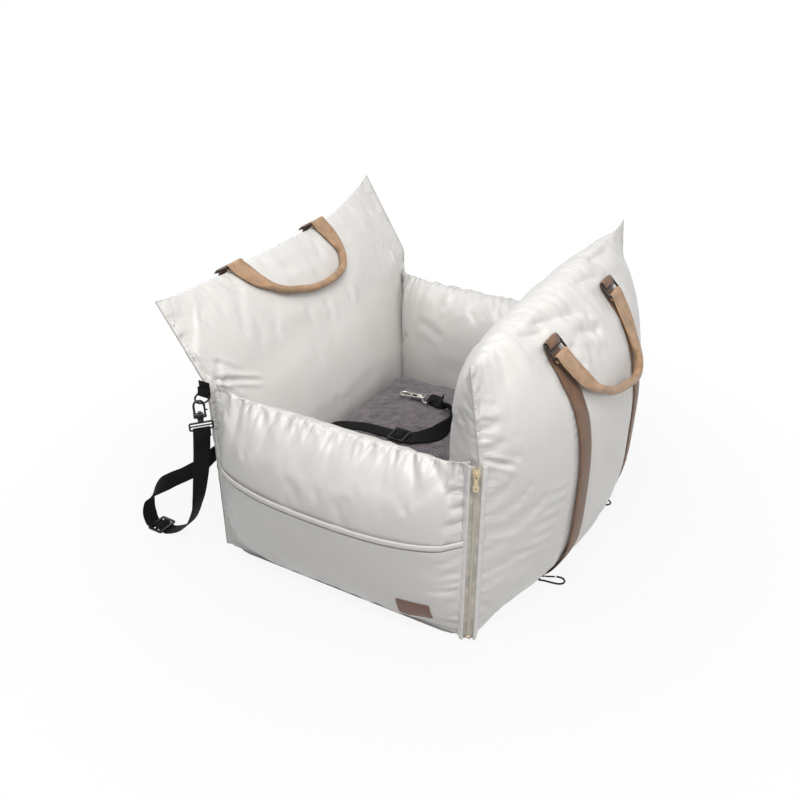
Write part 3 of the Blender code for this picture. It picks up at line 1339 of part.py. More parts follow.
def make_tether(pad_tree):
    """Inner tether on the pad: webbing, adjuster and a bolt snap."""
    way = Vector(SNAP_WAY).normalized()
    up = Vector((0, 0, 1))
    spot = Vector(SNAP_AT)
    high = max(
        pad_tree.ray_cast(Vector((spot.x + way.x * d, spot.y + way.y * d, 1)), (0, 0, -1))[0].z
        for d in np.linspace(-0.01, 0.05, 13)
    )
    at = place_at((spot.x, spot.y, high + SNAP_R + 0.0005), up.cross(way), way)
    eye_bar = at @ Vector((0, 0, -EYE_LOW))
    half_w = WEB_WIDE / 2 + EYE_R + 0.0006
    ring = [
        (-half_w, -EYE_LOW + 0.002), (-half_w + 0.0006, -EYE_LOW + 0.0006),
        (-half_w + 0.002, -EYE_LOW), (half_w - 0.002, -EYE_LOW),
        (half_w - 0.0006, -EYE_LOW + 0.0006), (half_w, -EYE_LOW + 0.002),
        (half_w, -0.0022), (half_w * 0.62, 0.0032), (half_w * 0.4, 0.0042),
        (-half_w * 0.4, 0.0042), (-half_w * 0.62, 0.0032), (-half_w, -0.0022),
    ]
    ring = [(x, 0, z) for x, z in ring]
    eye = tube("snap_eye", [at @ Vector(p) for p in ring], EYE_R, "chrome", closed=True)
    stem = rod("eye_stem", at @ Vector((0, 0, 0.003)), at @ Vector((0, 0, 0.0115)), 0.0017,
               "chrome", 12)
    head = rod("eye_head", at @ Vector((0, 0, 0.0100)), at @ Vector((0, 0, 0.0120)), 0.0027,
               "chrome", 12)
    union(eye, stem, head)
    body = rod("snap_body", at @ Vector((0, 0, 0.0065)), at @ Vector((0, 0, 0.0265)),
               SNAP_R, "chrome", 20)
    hook = tube("snap_hook", [at @ Vector((u, 0, v)) for u, v in SNAP_HOOK], 0.0021, "chrome",
                fine=2)
    union(body, hook)
    bore = rod("cut_neck", at @ Vector((0, 0, 0.004)), at @ Vector((0, 0, 0.010)), 0.0020,
               "chrome", 12, CUTTERS)
    room = rod("cut_room", at @ Vector((0, 0, 0.0095)), at @ Vector((0, 0, 0.0128)), 0.0031,
               "chrome", 12, CUTTERS)
    track_cut = rod("cut_track", at @ Vector((BOLT_X, 0, 0.0145)),
                    at @ Vector((BOLT_X, 0, 0.030)), 0.0019, "chrome", 12, CUTTERS)
    slot = box("cut_nub", (0.0028, 0.0100, 0.0100),
               at @ Matrix.Translation((BOLT_X, 0.0050, 0.0195)), "chrome", group=CUTTERS)
    cut(body, bore, room, track_cut, slot)
    low, high = BOLT_ENDS
    bolt = rod("snap_bolt", at @ Vector((BOLT_X, 0, low)), at @ Vector((BOLT_X, 0, high)),
               BOLT_R, "chrome", 12)
    nub = rod("bolt_nub", at @ Vector((BOLT_X, 0, 0.0230)), at @ Vector((BOLT_X, 0.0078, 0.0230)),
              0.0011, "chrome", 8)
    union(bolt, nub)
    clear = EYE_R + GAP
    listed = [Vector((PAD_EDGE + x, y, PAD_TOP + z)) for x, y, z in TETHER_PATH]
    listed.append(eye_bar + up * (clear * 0.6 + WEB_THICK / 2) - way * 0.011)
    listed.append(eye_bar + up * (clear + WEB_THICK / 2 + 0.0001) - way * 0.003)
    path = [Vector(p) for p in smooth_line(listed, 40)]
    marks = marks_of(listed, path)
    side = at.to_3x3() @ Vector((1, 0, 0))
    sides = [Vector(a) for a in TETHER_ACROSS] + [-side, -side]
    across = even_twist(path, sides, marks)
    lifted = []
    for i, p in enumerate(path):
        ahead = (path[min(i + 1, len(path) - 1)] - path[max(i - 1, 0)]).normalized()
        flat = across[i] - ahead * ahead.dot(across[i])
        flat.normalize()
        least = 0.0
        for w in (-1, -0.5, 0, 0.5, 1):
            q = p + flat * (w * WEB_WIDE / 2)
            hit = pad_tree.ray_cast(Vector((q.x, q.y, 1)), (0, 0, -1))[0]
            if hit is not None and hit.z > PAD_TOP - 0.013:
                least = max(least, hit.z + p.z - q.z + WEB_THICK / 2 + 0.0009)
        lifted.append(Vector((p.x, p.y, max(p.z, least))))
    for piece, pivot in (("snap_eye", eye_bar), ("snap_body", at.translation),
                         ("snap_bolt", at @ Vector((BOLT_X, 0, low)))):
        turn_about(piece, pivot)
    finish_tether(lifted, across, eye_bar, way, side)
    return at, eye_bar


def finish_tether(path, across, eye_bar, way, side):
    """Webbing of the tether, woven through its slide and looped round the eye."""
    up = Vector((0, 0, 1))
    clear = EYE_R + GAP
    path, across = weave(path, across, TETHER_SLIDE_AT, TETHER_SLIDE_WAY, up,
                         TETHER_SLIDE_LONG)
    top, under = ribbon_rows(path, across, WEB_WIDE, WEB_THICK)
    half = side * WEB_WIDE / 2
    outer, inner = loop_rows(eye_bar, up, way, clear, WEB_THICK, half)
    tail = eye_bar - way * 0.009 - up * (clear + 0.0002)
    outer.append([tail - up * WEB_THICK + half * w for w in (-1, 0, 1)])
    inner.append([tail + half * w for w in (-1, 0, 1)])
    if (top[-1][0] - outer[0][0]).length > (top[-1][2] - outer[0][0]).length:
        top = [row[::-1] for row in top]
        under = [row[::-1] for row in under]
    if top[-1][1].z < under[-1][1].z:
        top, under = under, top
    slab("tether_webbing", top + outer, under + inner, "black_webbing")
    make_slide("tether_adjuster", TETHER_SLIDE_AT, TETHER_SLIDE_WAY, up,
               TETHER_SLIDE_WIDE, TETHER_SLIDE_LONG, "black_plastic")


def main():
    start()
    walls, solids = make_walls()
    make_base()
    make_pocket(walls["front"])
    make_label(walls["front"])
    make_zip(solids)
    graph = bpy.context.evaluated_depsgraph_get()
    places = {}
    for side, level, lift, off, rest, grip in (
        ("right", RIGHT_BAR_LEVEL, RIGHT_LIFT, RIGHT_BUCKLE_OFF, REST_ON_STRAP, RIGHT_GRIP),
        ("left", LEFT_BAR_LEVEL, LEFT_LIFT, LEFT_BUCKLE_OFF, REST_ON_WALL, LEFT_GRIP),
    ):
        graph.update()
        tree = BVHTree.FromObject(solids[side], graph)
        bars = []
        for y, end in ((-STRAP_Y, "front"), (STRAP_Y, "rear")):
            name = f"{side}_{end}"
            bar, ahead, out = make_strap(
                name + "_strap", walls[side], y, STRAP_START, level, lift
            )
            if end == "front":
                down = ahead if side == "left" else -ahead
                down, up = settle(tree, bar, down, out, off)
            lower = make_buckle(name + "_buckle", bar, down)
            places[name + "_bar"] = bar
            places[name + "_lower"] = lower
            bars.append(lower)
            turn_about(name + "_buckle", bar)
        line = [(bars[0].x + x, y * STRAP_Y, bars[0].z + z) for x, y, z in grip]
        if side == "left":
            down = Vector(LEFT_TAB_WAY).normalized()
            up = Vector((-down.z, 0, down.x))
        make_handle(side + "_handle", tree, bars, down, up, line, rest)
        turn_about(side + "_handle", bars[0])
    hang = make_belt_tab()
    hook_at = place_at(hang, (math.cos(HOOK_TURN), math.sin(HOOK_TURN), 0), (0, 0, 1))
    make_belt_hook(hook_at)
    places["hook"] = hook_at
    tree = BVHTree.FromObject(solids["left"], graph)
    make_belt(tree, hook_at)
    for name, y, sign, turn in FLOOR_HOOKS:
        places[name] = make_floor_hook(name, y, sign, turn)
    graph.update()
    pad_tree = BVHTree.FromObject(bpy.data.objects["seat_pad"], graph)
    places["snap"], places["eye_bar"] = make_tether(pad_tree)
    return places


main()
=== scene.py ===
"""Pet travel bed, dressed: soft walls, pad, straps, handles, zip, belt and tether."""

import json
import math

import bmesh
import bpy
import numpy as np
from mathutils import Matrix, Vector
from mathutils.bvhtree import BVHTree
from mathutils.kdtree import KDTree


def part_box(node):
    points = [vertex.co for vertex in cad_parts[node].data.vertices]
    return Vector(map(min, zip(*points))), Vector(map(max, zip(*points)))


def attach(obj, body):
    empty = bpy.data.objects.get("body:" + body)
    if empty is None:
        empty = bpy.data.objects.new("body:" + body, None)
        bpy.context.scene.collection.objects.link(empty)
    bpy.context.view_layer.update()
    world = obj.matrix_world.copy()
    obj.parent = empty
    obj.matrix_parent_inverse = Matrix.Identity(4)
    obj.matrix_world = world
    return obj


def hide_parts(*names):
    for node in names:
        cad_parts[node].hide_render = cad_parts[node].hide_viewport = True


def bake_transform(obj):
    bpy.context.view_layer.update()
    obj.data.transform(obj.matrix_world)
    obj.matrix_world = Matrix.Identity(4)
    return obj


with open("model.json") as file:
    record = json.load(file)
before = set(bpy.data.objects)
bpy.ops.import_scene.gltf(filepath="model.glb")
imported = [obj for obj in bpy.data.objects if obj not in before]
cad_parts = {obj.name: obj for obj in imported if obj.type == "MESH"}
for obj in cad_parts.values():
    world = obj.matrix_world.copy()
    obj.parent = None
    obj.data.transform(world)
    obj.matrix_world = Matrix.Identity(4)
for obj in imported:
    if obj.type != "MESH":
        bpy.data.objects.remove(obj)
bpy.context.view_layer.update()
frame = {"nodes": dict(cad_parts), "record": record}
NODES = frame["nodes"]
BODY_OF = {n: b for b, ns in frame["record"]["behaviour"]["bodies"].items() for n in ns}
SCENE = bpy.context.scene

# The same sizes as in the part's source
BASE_WIDTH, BASE_LENGTH = 0.450, 0.610
HALF_W, HALF_L = BASE_WIDTH / 2, BASE_LENGTH / 2
LOW_HEIGHT, TALL_HEIGHT = 0.320, 0.458
BOTTOM = 0.0053
SIDE_OUT, SIDE_IN, LEFT_IN = 0.096, 0.105, 0.073
LEFT_LEAN, RIGHT_LEAN, EAR_REACH, EAR_RISE = 0.076, 0.016, 0.007, 0.014
FRONT_OUT, FRONT_IN, BACK_OUT, BACK_IN = 0.052, 0.065, 0.028, 0.160
PAD_TOP = 0.153
SEAM = LOW_HEIGHT / TALL_HEIGHT
BELOW_SEAM = [0, 0.1288, 0.2719, 0.4294, 0.5868, 0.7442, 0.8731, 0.9571, 1.0]
ABOVE_SEAM = [0.0996, 0.3362, 0.5685, 0.8009, 1.0]
TALL_LEVELS = [SEAM * s for s in BELOW_SEAM] + [SEAM + (1 - SEAM) * s for s in ABOVE_SEAM]
POCKET_SHARE, POCKET_WIDE = 0.56, 0.93
LABEL_W, LABEL_H, LABEL_X, LABEL_Z = 0.051, 0.037, 0.146, 0.050
ZIP_TOP, ZIP_TAPE, ZIP_TURN = 0.314, 0.0098, math.radians(27)
STRAP_Y, STRAP_WIDE, STRAP_THICK = 0.121, 0.038, 0.0016
# From the middle of a buckle's bar to the cloth that is folded round it
BAR_CLEAR = 0.0024
WEB_WIDE, WEB_THICK = 0.0265, 0.0014
# Where sewing thread lies, from the middle of a strap or of the label
THREAD_LIFT = 0.00085
FLOOR_HOOKS = ["right_front_hook", "right_rear_hook", "left_front_hook", "left_rear_hook"]


# Camera, at the photograph's angle

cam_data = bpy.data.cameras.new("camera")
camera = bpy.data.objects.new("camera", cam_data)
SCENE.collection.objects.link(camera)
LENS, SENSOR, PIXELS = 40.05, 36, 800
cam_data.lens = LENS
cam_data.sensor_width = SENSOR
cam_data.clip_end = 30
LOOK = Vector((-0.4886 * 0.8634, 0.8725 * 0.8634, -0.5045)).normalized()
camera.location = (0.602, -1.187, 0.970)
camera.rotation_euler = LOOK.to_track_quat("-Z", "Y").to_euler()
SCENE.camera = camera
TURN = LOOK.to_track_quat("-Z", "Y").to_matrix()


def ray(px, py):
    """The direction through a pixel of the 800 by 800 frame."""
    x, y = (px - PIXELS / 2) / PIXELS * SENSOR, (PIXELS / 2 - py) / PIXELS * SENSOR
    return (TURN @ Vector((x, y, -LENS))).normalized()


# Small tools

def run(points):
    """How far along a line each of its points lies."""
    return np.concatenate([[0], np.cumsum(np.linalg.norm(np.diff(points, axis=0), axis=1))])


def length_of(points):
    return float(np.linalg.norm(np.diff(points, axis=0), axis=1).sum())


def smooth_line(points, count):
    """A smooth curve through some points, as so many points or at shares of its length."""
    p = np.array(points, float)
    p = np.vstack([2 * p[0] - p[1], p, 2 * p[-1] - p[-2]])
    fine = []
    for i in range(1, len(p) - 2):
        for t in np.linspace(0, 1, 12, endpoint=False):
            a = -0.5 * p[i - 1] + 1.5 * p[i] - 1.5 * p[i + 1] + 0.5 * p[i + 2]
            b = p[i - 1] - 2.5 * p[i] + 2 * p[i + 1] - 0.5 * p[i + 2]
            c = -0.5 * p[i - 1] + 0.5 * p[i + 1]
            fine.append(((a * t + b) * t + c) * t + p[i])
    fine.append(p[-2])
    fine = np.array(fine)
    gone = run(fine)
    want = np.linspace(0, 1, count) if np.ndim(count) == 0 else np.array(count)
    return at_marks(want * gone[-1], gone, fine)


def at_marks(want, marks, line):
    return np.stack([np.interp(want, marks, line[:, k]) for k in range(line.shape[1])], 1)


def eased(line, times):
    """A line of values smoothed between its two ends."""
    line = line.copy()
    for _ in range(times):
        line[1:-1] = (line[:-2] + 2 * line[1:-1] + line[2:]) / 4
    return line


def unit(v):
    v = np.asarray(v, float)
    return v / np.maximum(np.linalg.norm(v, axis=-1, keepdims=True), 1e-12)


def smoothstep(x, low, high):
    """0 at low and before it, 1 at high and past it. High may be the smaller one."""
    x = np.clip((x - low) / (high - low), 0, 1)
    return x * x * (3 - 2 * x)


def blurred(a, times):
    """A grid with each value drawn towards its four neighbours."""
    for _ in range(times):
        b = np.pad(a, ((1, 1), (1, 1)) + ((0, 0),) * (a.ndim - 2), mode="edge")
        a = (b[:-2, 1:-1] + b[2:, 1:-1] + b[1:-1, :-2] + b[1:-1, 2:] + 4 * b[1:-1, 1:-1]) / 8
    return a


def doubled(a):
    """A grid with a point put between each two, on a smooth curve."""
    for axis in (0, 1):
        a = np.moveaxis(a, axis, 0)
        p = np.concatenate([2 * a[:1] - a[1:2], a, 2 * a[-1:] - a[-2:-1]])
        mid = (-p[:-3] + 9 * p[1:-2] + 9 * p[2:-1] - p[3:]) / 16
        out = np.empty((2 * len(a) - 1, *a.shape[1:]))
        out[0::2] = a
        out[1::2] = mid
        a = np.moveaxis(out, 0, axis)
    return a


def grid_normals(g, away):
    """Normals of a grid of points, on the side that away points to."""
    n = unit(np.cross(np.gradient(g, axis=0), np.gradient(g, axis=1)))
    middle = (g.shape[0] // 2, g.shape[1] // 2)
    if (n[middle] * np.array(away)).sum() < 0:
        n = -n
    return n


def bare_object(name, points, faces):
    mesh = bpy.data.meshes.new(name)
    mesh.from_pydata([tuple(map(float, p)) for p in points], [], faces)
    return linked(name, mesh)


def linked(name, mesh):
    obj = bpy.data.objects.new(name, mesh)
    SCENE.collection.objects.link(obj)
    return obj


def turn_out(mesh):
    """Turns all faces outwards."""
    build = bmesh.new()
    build.from_mesh(mesh)
    bmesh.ops.recalc_face_normals(build, faces=build.faces)
    if build.calc_volume(signed=True) < 0:
        bmesh.ops.reverse_faces(build, faces=build.faces)
    build.to_mesh(mesh)
    build.free()


def dress(obj, look, smooth=True):
    """Gives an object of this script its material."""
    obj.data.polygons.foreach_set("use_smooth", [smooth] * len(obj.data.polygons))
    obj.data.materials.clear()
    obj.data.materials.append(LOOKS[look])


def mesh_object(name, points, faces, look, body="bed", smooth=True, uvs=None, ends=None):
    obj = bare_object(name, points, faces)
    mesh = obj.data
    for key, values in (("cloth", uvs), ("ends", ends)):
        if values is not None:
            layer = mesh.uv_layers.new(name=key)
            at = np.empty(len(mesh.loops), int)
            mesh.loops.foreach_get("vertex_index", at)
            layer.data.foreach_set("uv", np.asarray(values, float)[at].ravel())
    turn_out(mesh)
    if body:
        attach(obj, body)
    dress(obj, look, smooth)
    return obj


def evaluated(obj):
    graph = bpy.context.evaluated_depsgraph_get()
    graph.update()
    return obj.evaluated_get(graph)


def simulated(obj, frames, **settings):
    """Where a cloth simulation takes the object's points in some frames."""
    step = obj.modifiers.new("cloth", "CLOTH")
    for key, value in settings.items():
        setattr(step.settings, key, value)
    step.settings.quality, step.settings.mass = 5, 0.3
    step.settings.use_pressure = True
    step.settings.effector_weights.gravity = 0
    step.collision_settings.use_collision = False
    step.collision_settings.use_self_collision = False
    step.point_cache.frame_start, step.point_cache.frame_end = 1, frames
    for f in range(1, frames + 1):
        SCENE.frame_set(f)
    done = obj.evaluated_get(bpy.context.evaluated_depsgraph_get())
    co = np.empty(len(done.data.vertices) * 3)
    done.data.vertices.foreach_get("co", co)
    SCENE.frame_set(1)
    return co.reshape(-1, 3)


def tree_of(obj):
    graph = bpy.context.evaluated_depsgraph_get()
    graph.update()
    return BVHTree.FromObject(obj, graph)


# Materials

class Nodes:
    """A node tree and short ways to add to it."""

    def __init__(self, tree):
        self.tree = tree

    def feed(self, socket, value):
        if isinstance(value, bpy.types.NodeSocket):
            self.tree.links.new(value, socket)
        else:
            socket.default_value = value

    def node(self, kind, **values):
        made = self.tree.nodes.new("ShaderNode" + kind)
        for key, value in values.items():
            if key in made.bl_rna.properties:
                setattr(made, key, value)
            else:
                self.feed(made.inputs[key.replace("_", " ")], value)
        return made

    def sums(self, kind, a, b):
        return self.fed(self.node("Math", operation=kind), (a, b))

    def fed(self, made, values):
        for socket, value in zip(made.inputs, values):
            self.feed(socket, value)
        return made.outputs[0]

    def shown(self):
        """1 for what the camera sees, also mirrored in or through a surface."""
        path = self.node("LightPath").outputs
        direct = self.sums("MAXIMUM", path["Is Camera Ray"], path["Is Glossy Ray"])
        return self.sums("MAXIMUM", direct, path["Is Transmission Ray"])

    def mixed(self, share, a, b):
        return self.fed(self.node("MixShader"), (share, a, b))


class Look(Nodes):
    """A Principled material with its nodes."""

    def __init__(self, name, colour, rough, **sockets):
        self.mat = bpy.data.materials.new(name)
        self.mat.use_nodes = True
        super().__init__(self.mat.node_tree)
        self.shader = self.tree.nodes["Principled BSDF"]
        sockets = {"Base_Color": (*colour, 1), "Roughness": rough, **sockets}
        for key, value in sockets.items():
            self.shader.inputs[key.replace("_", " ")].default_value = value

    def where(self, kind="Object"):
        return self.node("TexCoord").outputs[kind]

    def noise(self, scale, detail=2.0, rough=0.5, at=None, stretch=None):
        at = at or self.where()
        if stretch:
            at = self.node("Mapping", Vector=at, Scale=stretch).outputs[0]
        return self.node("TexNoise", Vector=at, Scale=scale, Detail=detail,
                         Roughness=rough).outputs[0]

    def ramp(self, value, low, high, dark, light):
        r = self.node("ValToRGB", Fac=value)
        for stop, at, colour in zip(r.color_ramp.elements, (low, high), (dark, light)):
            stop.position, stop.color = at, (*colour, 1)
        return r.outputs[0]

    def spread(self, value, low, high, a, b):
        r = self.node("MapRange", Value=value, From_Min=low, From_Max=high, To_Min=a, To_Max=b)
        return r.outputs[0]

    def bump(self, *heights):
        """Lays bumps on each other: pairs of a height and its depth in metres."""
        last = None
        for value, depth in heights:
            b = self.node("Bump", Height=value, Strength=1.0, Distance=depth)
            if last:
                self.tree.links.new(last, b.inputs["Normal"])
            last = b.outputs[0]
        self.set("Normal", last)

    def set(self, name, socket):
        self.tree.links.new(socket, self.shader.inputs[name])


def srgb(r, g, b):
    """A colour of 0 to 255 as linear light."""
    out = []
    for v in (r, g, b):
        v /= 255
        out.append(v / 12.92 if v <= 0.04045 else ((v + 0.055) / 1.055) ** 2.4)
    return tuple(out)


def satin(name, colour, crumple, seams=()):
    """Shiny woven cloth. A seam is a UV map, a stretch, a reach, a scale and a depth."""
    m = Look(name, colour, 0.40, Sheen_Weight=0.12, Sheen_Roughness=0.4,
             Specular_IOR_Level=0.62)
    slow = m.noise(7, 3)
    dark = tuple(c * 0.96 for c in colour)
    m.set("Base Color", m.ramp(slow, 0.3, 0.7, dark, colour))
    m.set("Roughness", m.spread(m.noise(30, 3), 0.3, 0.7, 0.35, 0.46))
    heights = [
        (m.noise(11, 2, 0.4, stretch=(1.0, 1.0, 0.5)), 0.0045 * crumple),
        (m.noise(34, 2, 0.45, stretch=(1.0, 0.8, 0.4)), 0.0010 * crumple),
    ]
    for key, across, reach, scale, deep in seams:
        uv = m.node("UVMap", uv_map=key).outputs[0]
        long = m.node("Mapping", Vector=uv, Scale=(1.0, across, 1.0)).outputs[0]
        wave = m.noise(scale, 1.5, 0.45, at=long)
        fold = m.sums("ABSOLUTE", m.sums("SUBTRACT", wave, 0.5), 0.0)
        off = m.node("SeparateXYZ", Vector=uv).outputs[1]
        near = m.spread(off, 0.0, reach, 1.0, 0.0)
        near = m.sums("MULTIPLY", near, near)
        heights.append((m.sums("MULTIPLY", fold, near), deep))
    heights.append((m.noise(1500, 1, 0.5), 0.00010))
    m.bump(*heights)
    return m.mat


def webbing(name, colour, pitch, rough, kind="twill", rim=0.0132, shine=0.25, spec=0.4):
    """Woven tape. Its UVs are metres along and across it."""
    m = Look(name, colour, rough, Sheen_Weight=shine, Sheen_Roughness=0.4,
             Specular_IOR_Level=spec)
    uv = m.where("UV")
    apart = m.node("SeparateXYZ", Vector=uv)
    along, across = apart.outputs[0], apart.outputs[1]
    side = m.sums("ABSOLUTE", across, 0.0)
    turn = 2 * math.pi / pitch
    if kind == "twill":
        lean = m.sums("ADD", m.sums("MULTIPLY", along, turn), m.sums("MULTIPLY", side, turn))
    else:
        lean = m.sums("MULTIPLY", along, turn)
    ribs = m.sums("SINE", lean, 0.0)
    warp = m.sums("SINE", m.sums("MULTIPLY", across, turn * 1.6), 0.0)
    cells = m.sums("ADD", m.sums("MULTIPLY", ribs, 0.6), m.sums("MULTIPLY", warp, 0.4))
    tone = m.noise(60, 3)
    shade = m.sums("ADD", m.sums("MULTIPLY", cells, 0.12), tone)
    dark = tuple(c * 0.72 for c in colour)
    light = tuple(min(1, c * 1.18) for c in colour)
    m.set("Base Color", m.ramp(shade, 0.3, 0.72, dark, light))
    m.set("Roughness", m.spread(tone, 0.3, 0.7, rough - 0.06, rough + 0.08))
    edge = m.spread(side, rim - 0.0016, rim - 0.0006, 0.0, 1.0)
    m.bump((cells, 0.00022), (edge, -0.0003), (m.noise(900, 2), 0.00010))
    return m.mat


def metal(name, colour, rough, metallic, worn, spec=0.5):
    m = Look(name, colour, rough, Metallic=metallic, Specular_IOR_Level=spec)
    spots = m.noise(300, 4, 0.6)
    m.set("Base Color", m.ramp(spots, 0.35, 0.75, colour, worn))
    m.set("Roughness", m.spread(m.noise(500, 3), 0.3, 0.7, rough - 0.06, rough + 0.10))
    m.bump((m.noise(900, 2), 0.00006))
    return m.mat


def plush():
    m = Look("plush", srgb(100, 94, 99), 0.95, Sheen_Weight=0.35, Sheen_Roughness=0.55)
    m.shader.inputs["Sheen Tint"].default_value = (0.86, 0.82, 0.88, 1)
    clumps = m.noise(75, 4, 0.6)
    pile = m.noise(420, 3, 0.65)
    slow = m.noise(14, 3, 0.5)
    mixed = m.sums("ADD", m.sums("MULTIPLY", clumps, 0.55),
                   m.sums("ADD", m.sums("MULTIPLY", pile, 0.2), m.sums("MULTIPLY", slow, 0.35)))
    m.set("Base Color", m.ramp(mixed, 0.42, 0.68, srgb(68, 62, 66), srgb(112, 104, 109)))
    m.bump((clumps, 0.006), (pile, 0.0016), (m.noise(1100, 2), 0.0006))
    return m.mat


def leather():
    m = Look("label_leather", srgb(118, 78, 68), 0.5, Coat_Weight=0.08, Coat_Roughness=0.4)
    cells = m.node("TexVoronoi", Vector=m.where(), Scale=900.0)
    grain = m.noise(160, 4, 0.6)
    m.set("Base Color", m.ramp(grain, 0.3, 0.7, srgb(100, 64, 55), srgb(130, 88, 77)))
    m.set("Roughness", m.spread(grain, 0.3, 0.7, 0.42, 0.6))
    m.bump((cells.outputs["Distance"], 0.00025), (grain, 0.0004))
    return m.mat


def plain_cloth(name, colour, rough=0.85):
    m = Look(name, colour, rough, Sheen_Weight=0.2)
    tone = m.noise(300, 3)
    m.set("Base Color", m.ramp(tone, 0.3, 0.7, tuple(c * 0.8 for c in colour), colour))
    m.bump((m.noise(1400, 2), 0.0002), (m.noise(120, 2), 0.0006))
    return m.mat


def thread(name, colour):
    m = Look(name, colour, 0.6, Sheen_Weight=0.2)
    twist = m.noise(2500, 1)
    m.set("Base Color", m.ramp(twist, 0.3, 0.7, tuple(c * 0.8 for c in colour), colour))
    m.bump((twist, 0.0001))
    return m.mat


SHELL = srgb(213, 211, 208)
LOOKS = {
    "shell_cloth": satin("shell_cloth", SHELL, 0.6),
    "wall_cloth": satin("wall_cloth", SHELL, 0.9, (
        ("cloth", 0.20, 0.070, 34, 0.022), ("cloth", 0.25, 0.030, 80, 0.009),
        ("ends", 0.25, 0.040, 60, 0.014),
    )),
    "tall_cloth": satin("tall_cloth", SHELL, 0.9, (
        ("cloth", 0.35, 0.170, 13, 0.013), ("cloth", 0.25, 0.020, 80, 0.003),
        ("ends", 0.22, 0.050, 48, 0.012),
    )),
    # Piping cloth: the shell cloth darkened, as painted shade of the seam's shadow line
    "seam_cloth_painted_shade": plain_cloth("seam_cloth_painted_shade", srgb(186, 183, 179), 0.6),
    "pocket_cloth": satin("pocket_cloth", SHELL, 0.6),
    "plush": plush(),
    "panel_cloth": plain_cloth("panel_cloth", srgb(188, 185, 180)),
    "label_leather": leather(),
    "zip_tape": webbing("zip_tape", srgb(205, 199, 188), 0.0011, 0.7, "rib", 0.0049),
    "zip_teeth": metal("zip_teeth", srgb(190, 184, 172), 0.5, 0.0, srgb(206, 200, 188)),
    "zip_metal": metal("zip_metal", srgb(206, 190, 152), 0.34, 0.25, srgb(222, 208, 172)),
    "brown_strap": webbing("brown_strap", srgb(124, 92, 69), 0.0016, 0.36, "twill", 0.019,
                           0.0, 0.35),
    "tan_webbing": webbing("tan_webbing", srgb(184, 147, 113), 0.0014, 0.34, "twill", 0.01425,
                           0.08, 0.5),
    "black_webbing": webbing("black_webbing", srgb(18, 18, 19), 0.0017, 0.7, "rib", 0.01325,
                             0.02, 0.12),
    "black_metal": metal("black_metal", srgb(20, 19, 20), 0.36, 0.0, srgb(32, 31, 30), 0.3),
    "black_plastic": metal("black_plastic", srgb(17, 17, 18), 0.4, 0.0, srgb(25, 25, 26), 0.25),
    "chrome": metal("chrome", srgb(206, 202, 196), 0.17, 1.0, srgb(180, 176, 168)),
    "pale_thread": thread("pale_thread", srgb(214, 206, 192)),
    "brown_thread": thread("brown_thread", srgb(132, 100, 74)),
}


# Soft walls

# End seams: how far across, how high and how far past the end at a share u of the length
# and t of the height. Ends: how squarely each face fills out towards its end seams

def right_seam(u, t):
    lean = np.maximum(0, t - SEAM) / (1 - SEAM)
    return -RIGHT_LEAN * lean, BOTTOM + (TALL_HEIGHT - BOTTOM) * t, EAR_REACH * lean


def left_seam(u, t):
    lean = np.maximum(0, t - SEAM) / (1 - SEAM)
    top = TALL_HEIGHT - 0.010 + EAR_RISE * u
    return LEFT_LEAN * lean, BOTTOM + (top - BOTTOM) * t, EAR_REACH * lean


def low_seam(u, t):
    return 0 * t, BOTTOM + (LOW_HEIGHT - BOTTOM) * t, 0 * t


def back_seam(u, t):
    high = np.maximum(0, t - 0.6) / 0.4
    past = 0.010 * high * (u < 0)
    return 0 * t, BOTTOM + (0.90 * LOW_HEIGHT - BOTTOM) * t, past


def tall_ends(t, side):
    if side == "inner":
        return 3.0 + 0 * t, 0.55 + 0 * t
    return 2.1 + 0.9 * t, 1.0 - 0.45 * t


def low_ends(t, side):
    return 2.6 + 0 * t, 0.6 + 0 * t


def tall_profiles(reach_in, ridge, lean_in):
    """Sections of a tall wall's two faces, from the foot to the ridge: across and up."""
    s, h, bottom = SIDE_OUT, TALL_HEIGHT, BOTTOM
    if lean_in:
        outer = [(0.030, bottom), (0.69 * s, 0.020), (0.875 * s, 0.055), (0.97 * s, 0.10)]
        outer += [(s, 0.165), (0.99 * s, 0.23), (0.90 * s, 0.635 * h), (0.73 * s, 0.745 * h)]
        outer += [(0.46 * s, 0.83 * h), (0.14 * s, 0.915 * h), ridge]
        inner = [(-reach_in * 0.98, bottom), (-reach_in, 0.05), (-reach_in, 0.12)]
        inner += [(-reach_in, PAD_TOP + 0.03), (-reach_in * 0.99, 0.26)]
        inner += [(-reach_in * 0.95, 0.74 * h), (-reach_in * 0.80, 0.87 * h)]
        inner += [(-reach_in * 0.52, 0.965 * h), ridge]
    else:
        outer = [(0.030, bottom), (0.63 * s, 0.020), (0.81 * s, 0.060), (0.91 * s, 0.12)]
        outer += [(0.97 * s, 0.19), (1.02 * s, 0.26), (1.08 * s, 0.70 * h)]
        outer += [(1.13 * s, 0.81 * h), (1.09 * s, 0.88 * h), ridge]
        inner = [(-reach_in * 0.98, bottom), (-reach_in, 0.05), (-reach_in, 0.10)]
        inner += [(-reach_in * 0.97, PAD_TOP), (-reach_in * 0.78, 0.19), (-reach_in * 0.45, 0.245)]
        inner += [(-reach_in * 0.05, 0.295), (LEFT_LEAN * 0.25, 0.345)]
        inner += [(LEFT_LEAN * 0.58, 0.385), (LEFT_LEAN * 0.88, 0.412), ridge]
    return outer, inner


# The most that simulated cloth may slip along its own surface
SIDE_SLIP = 0.003


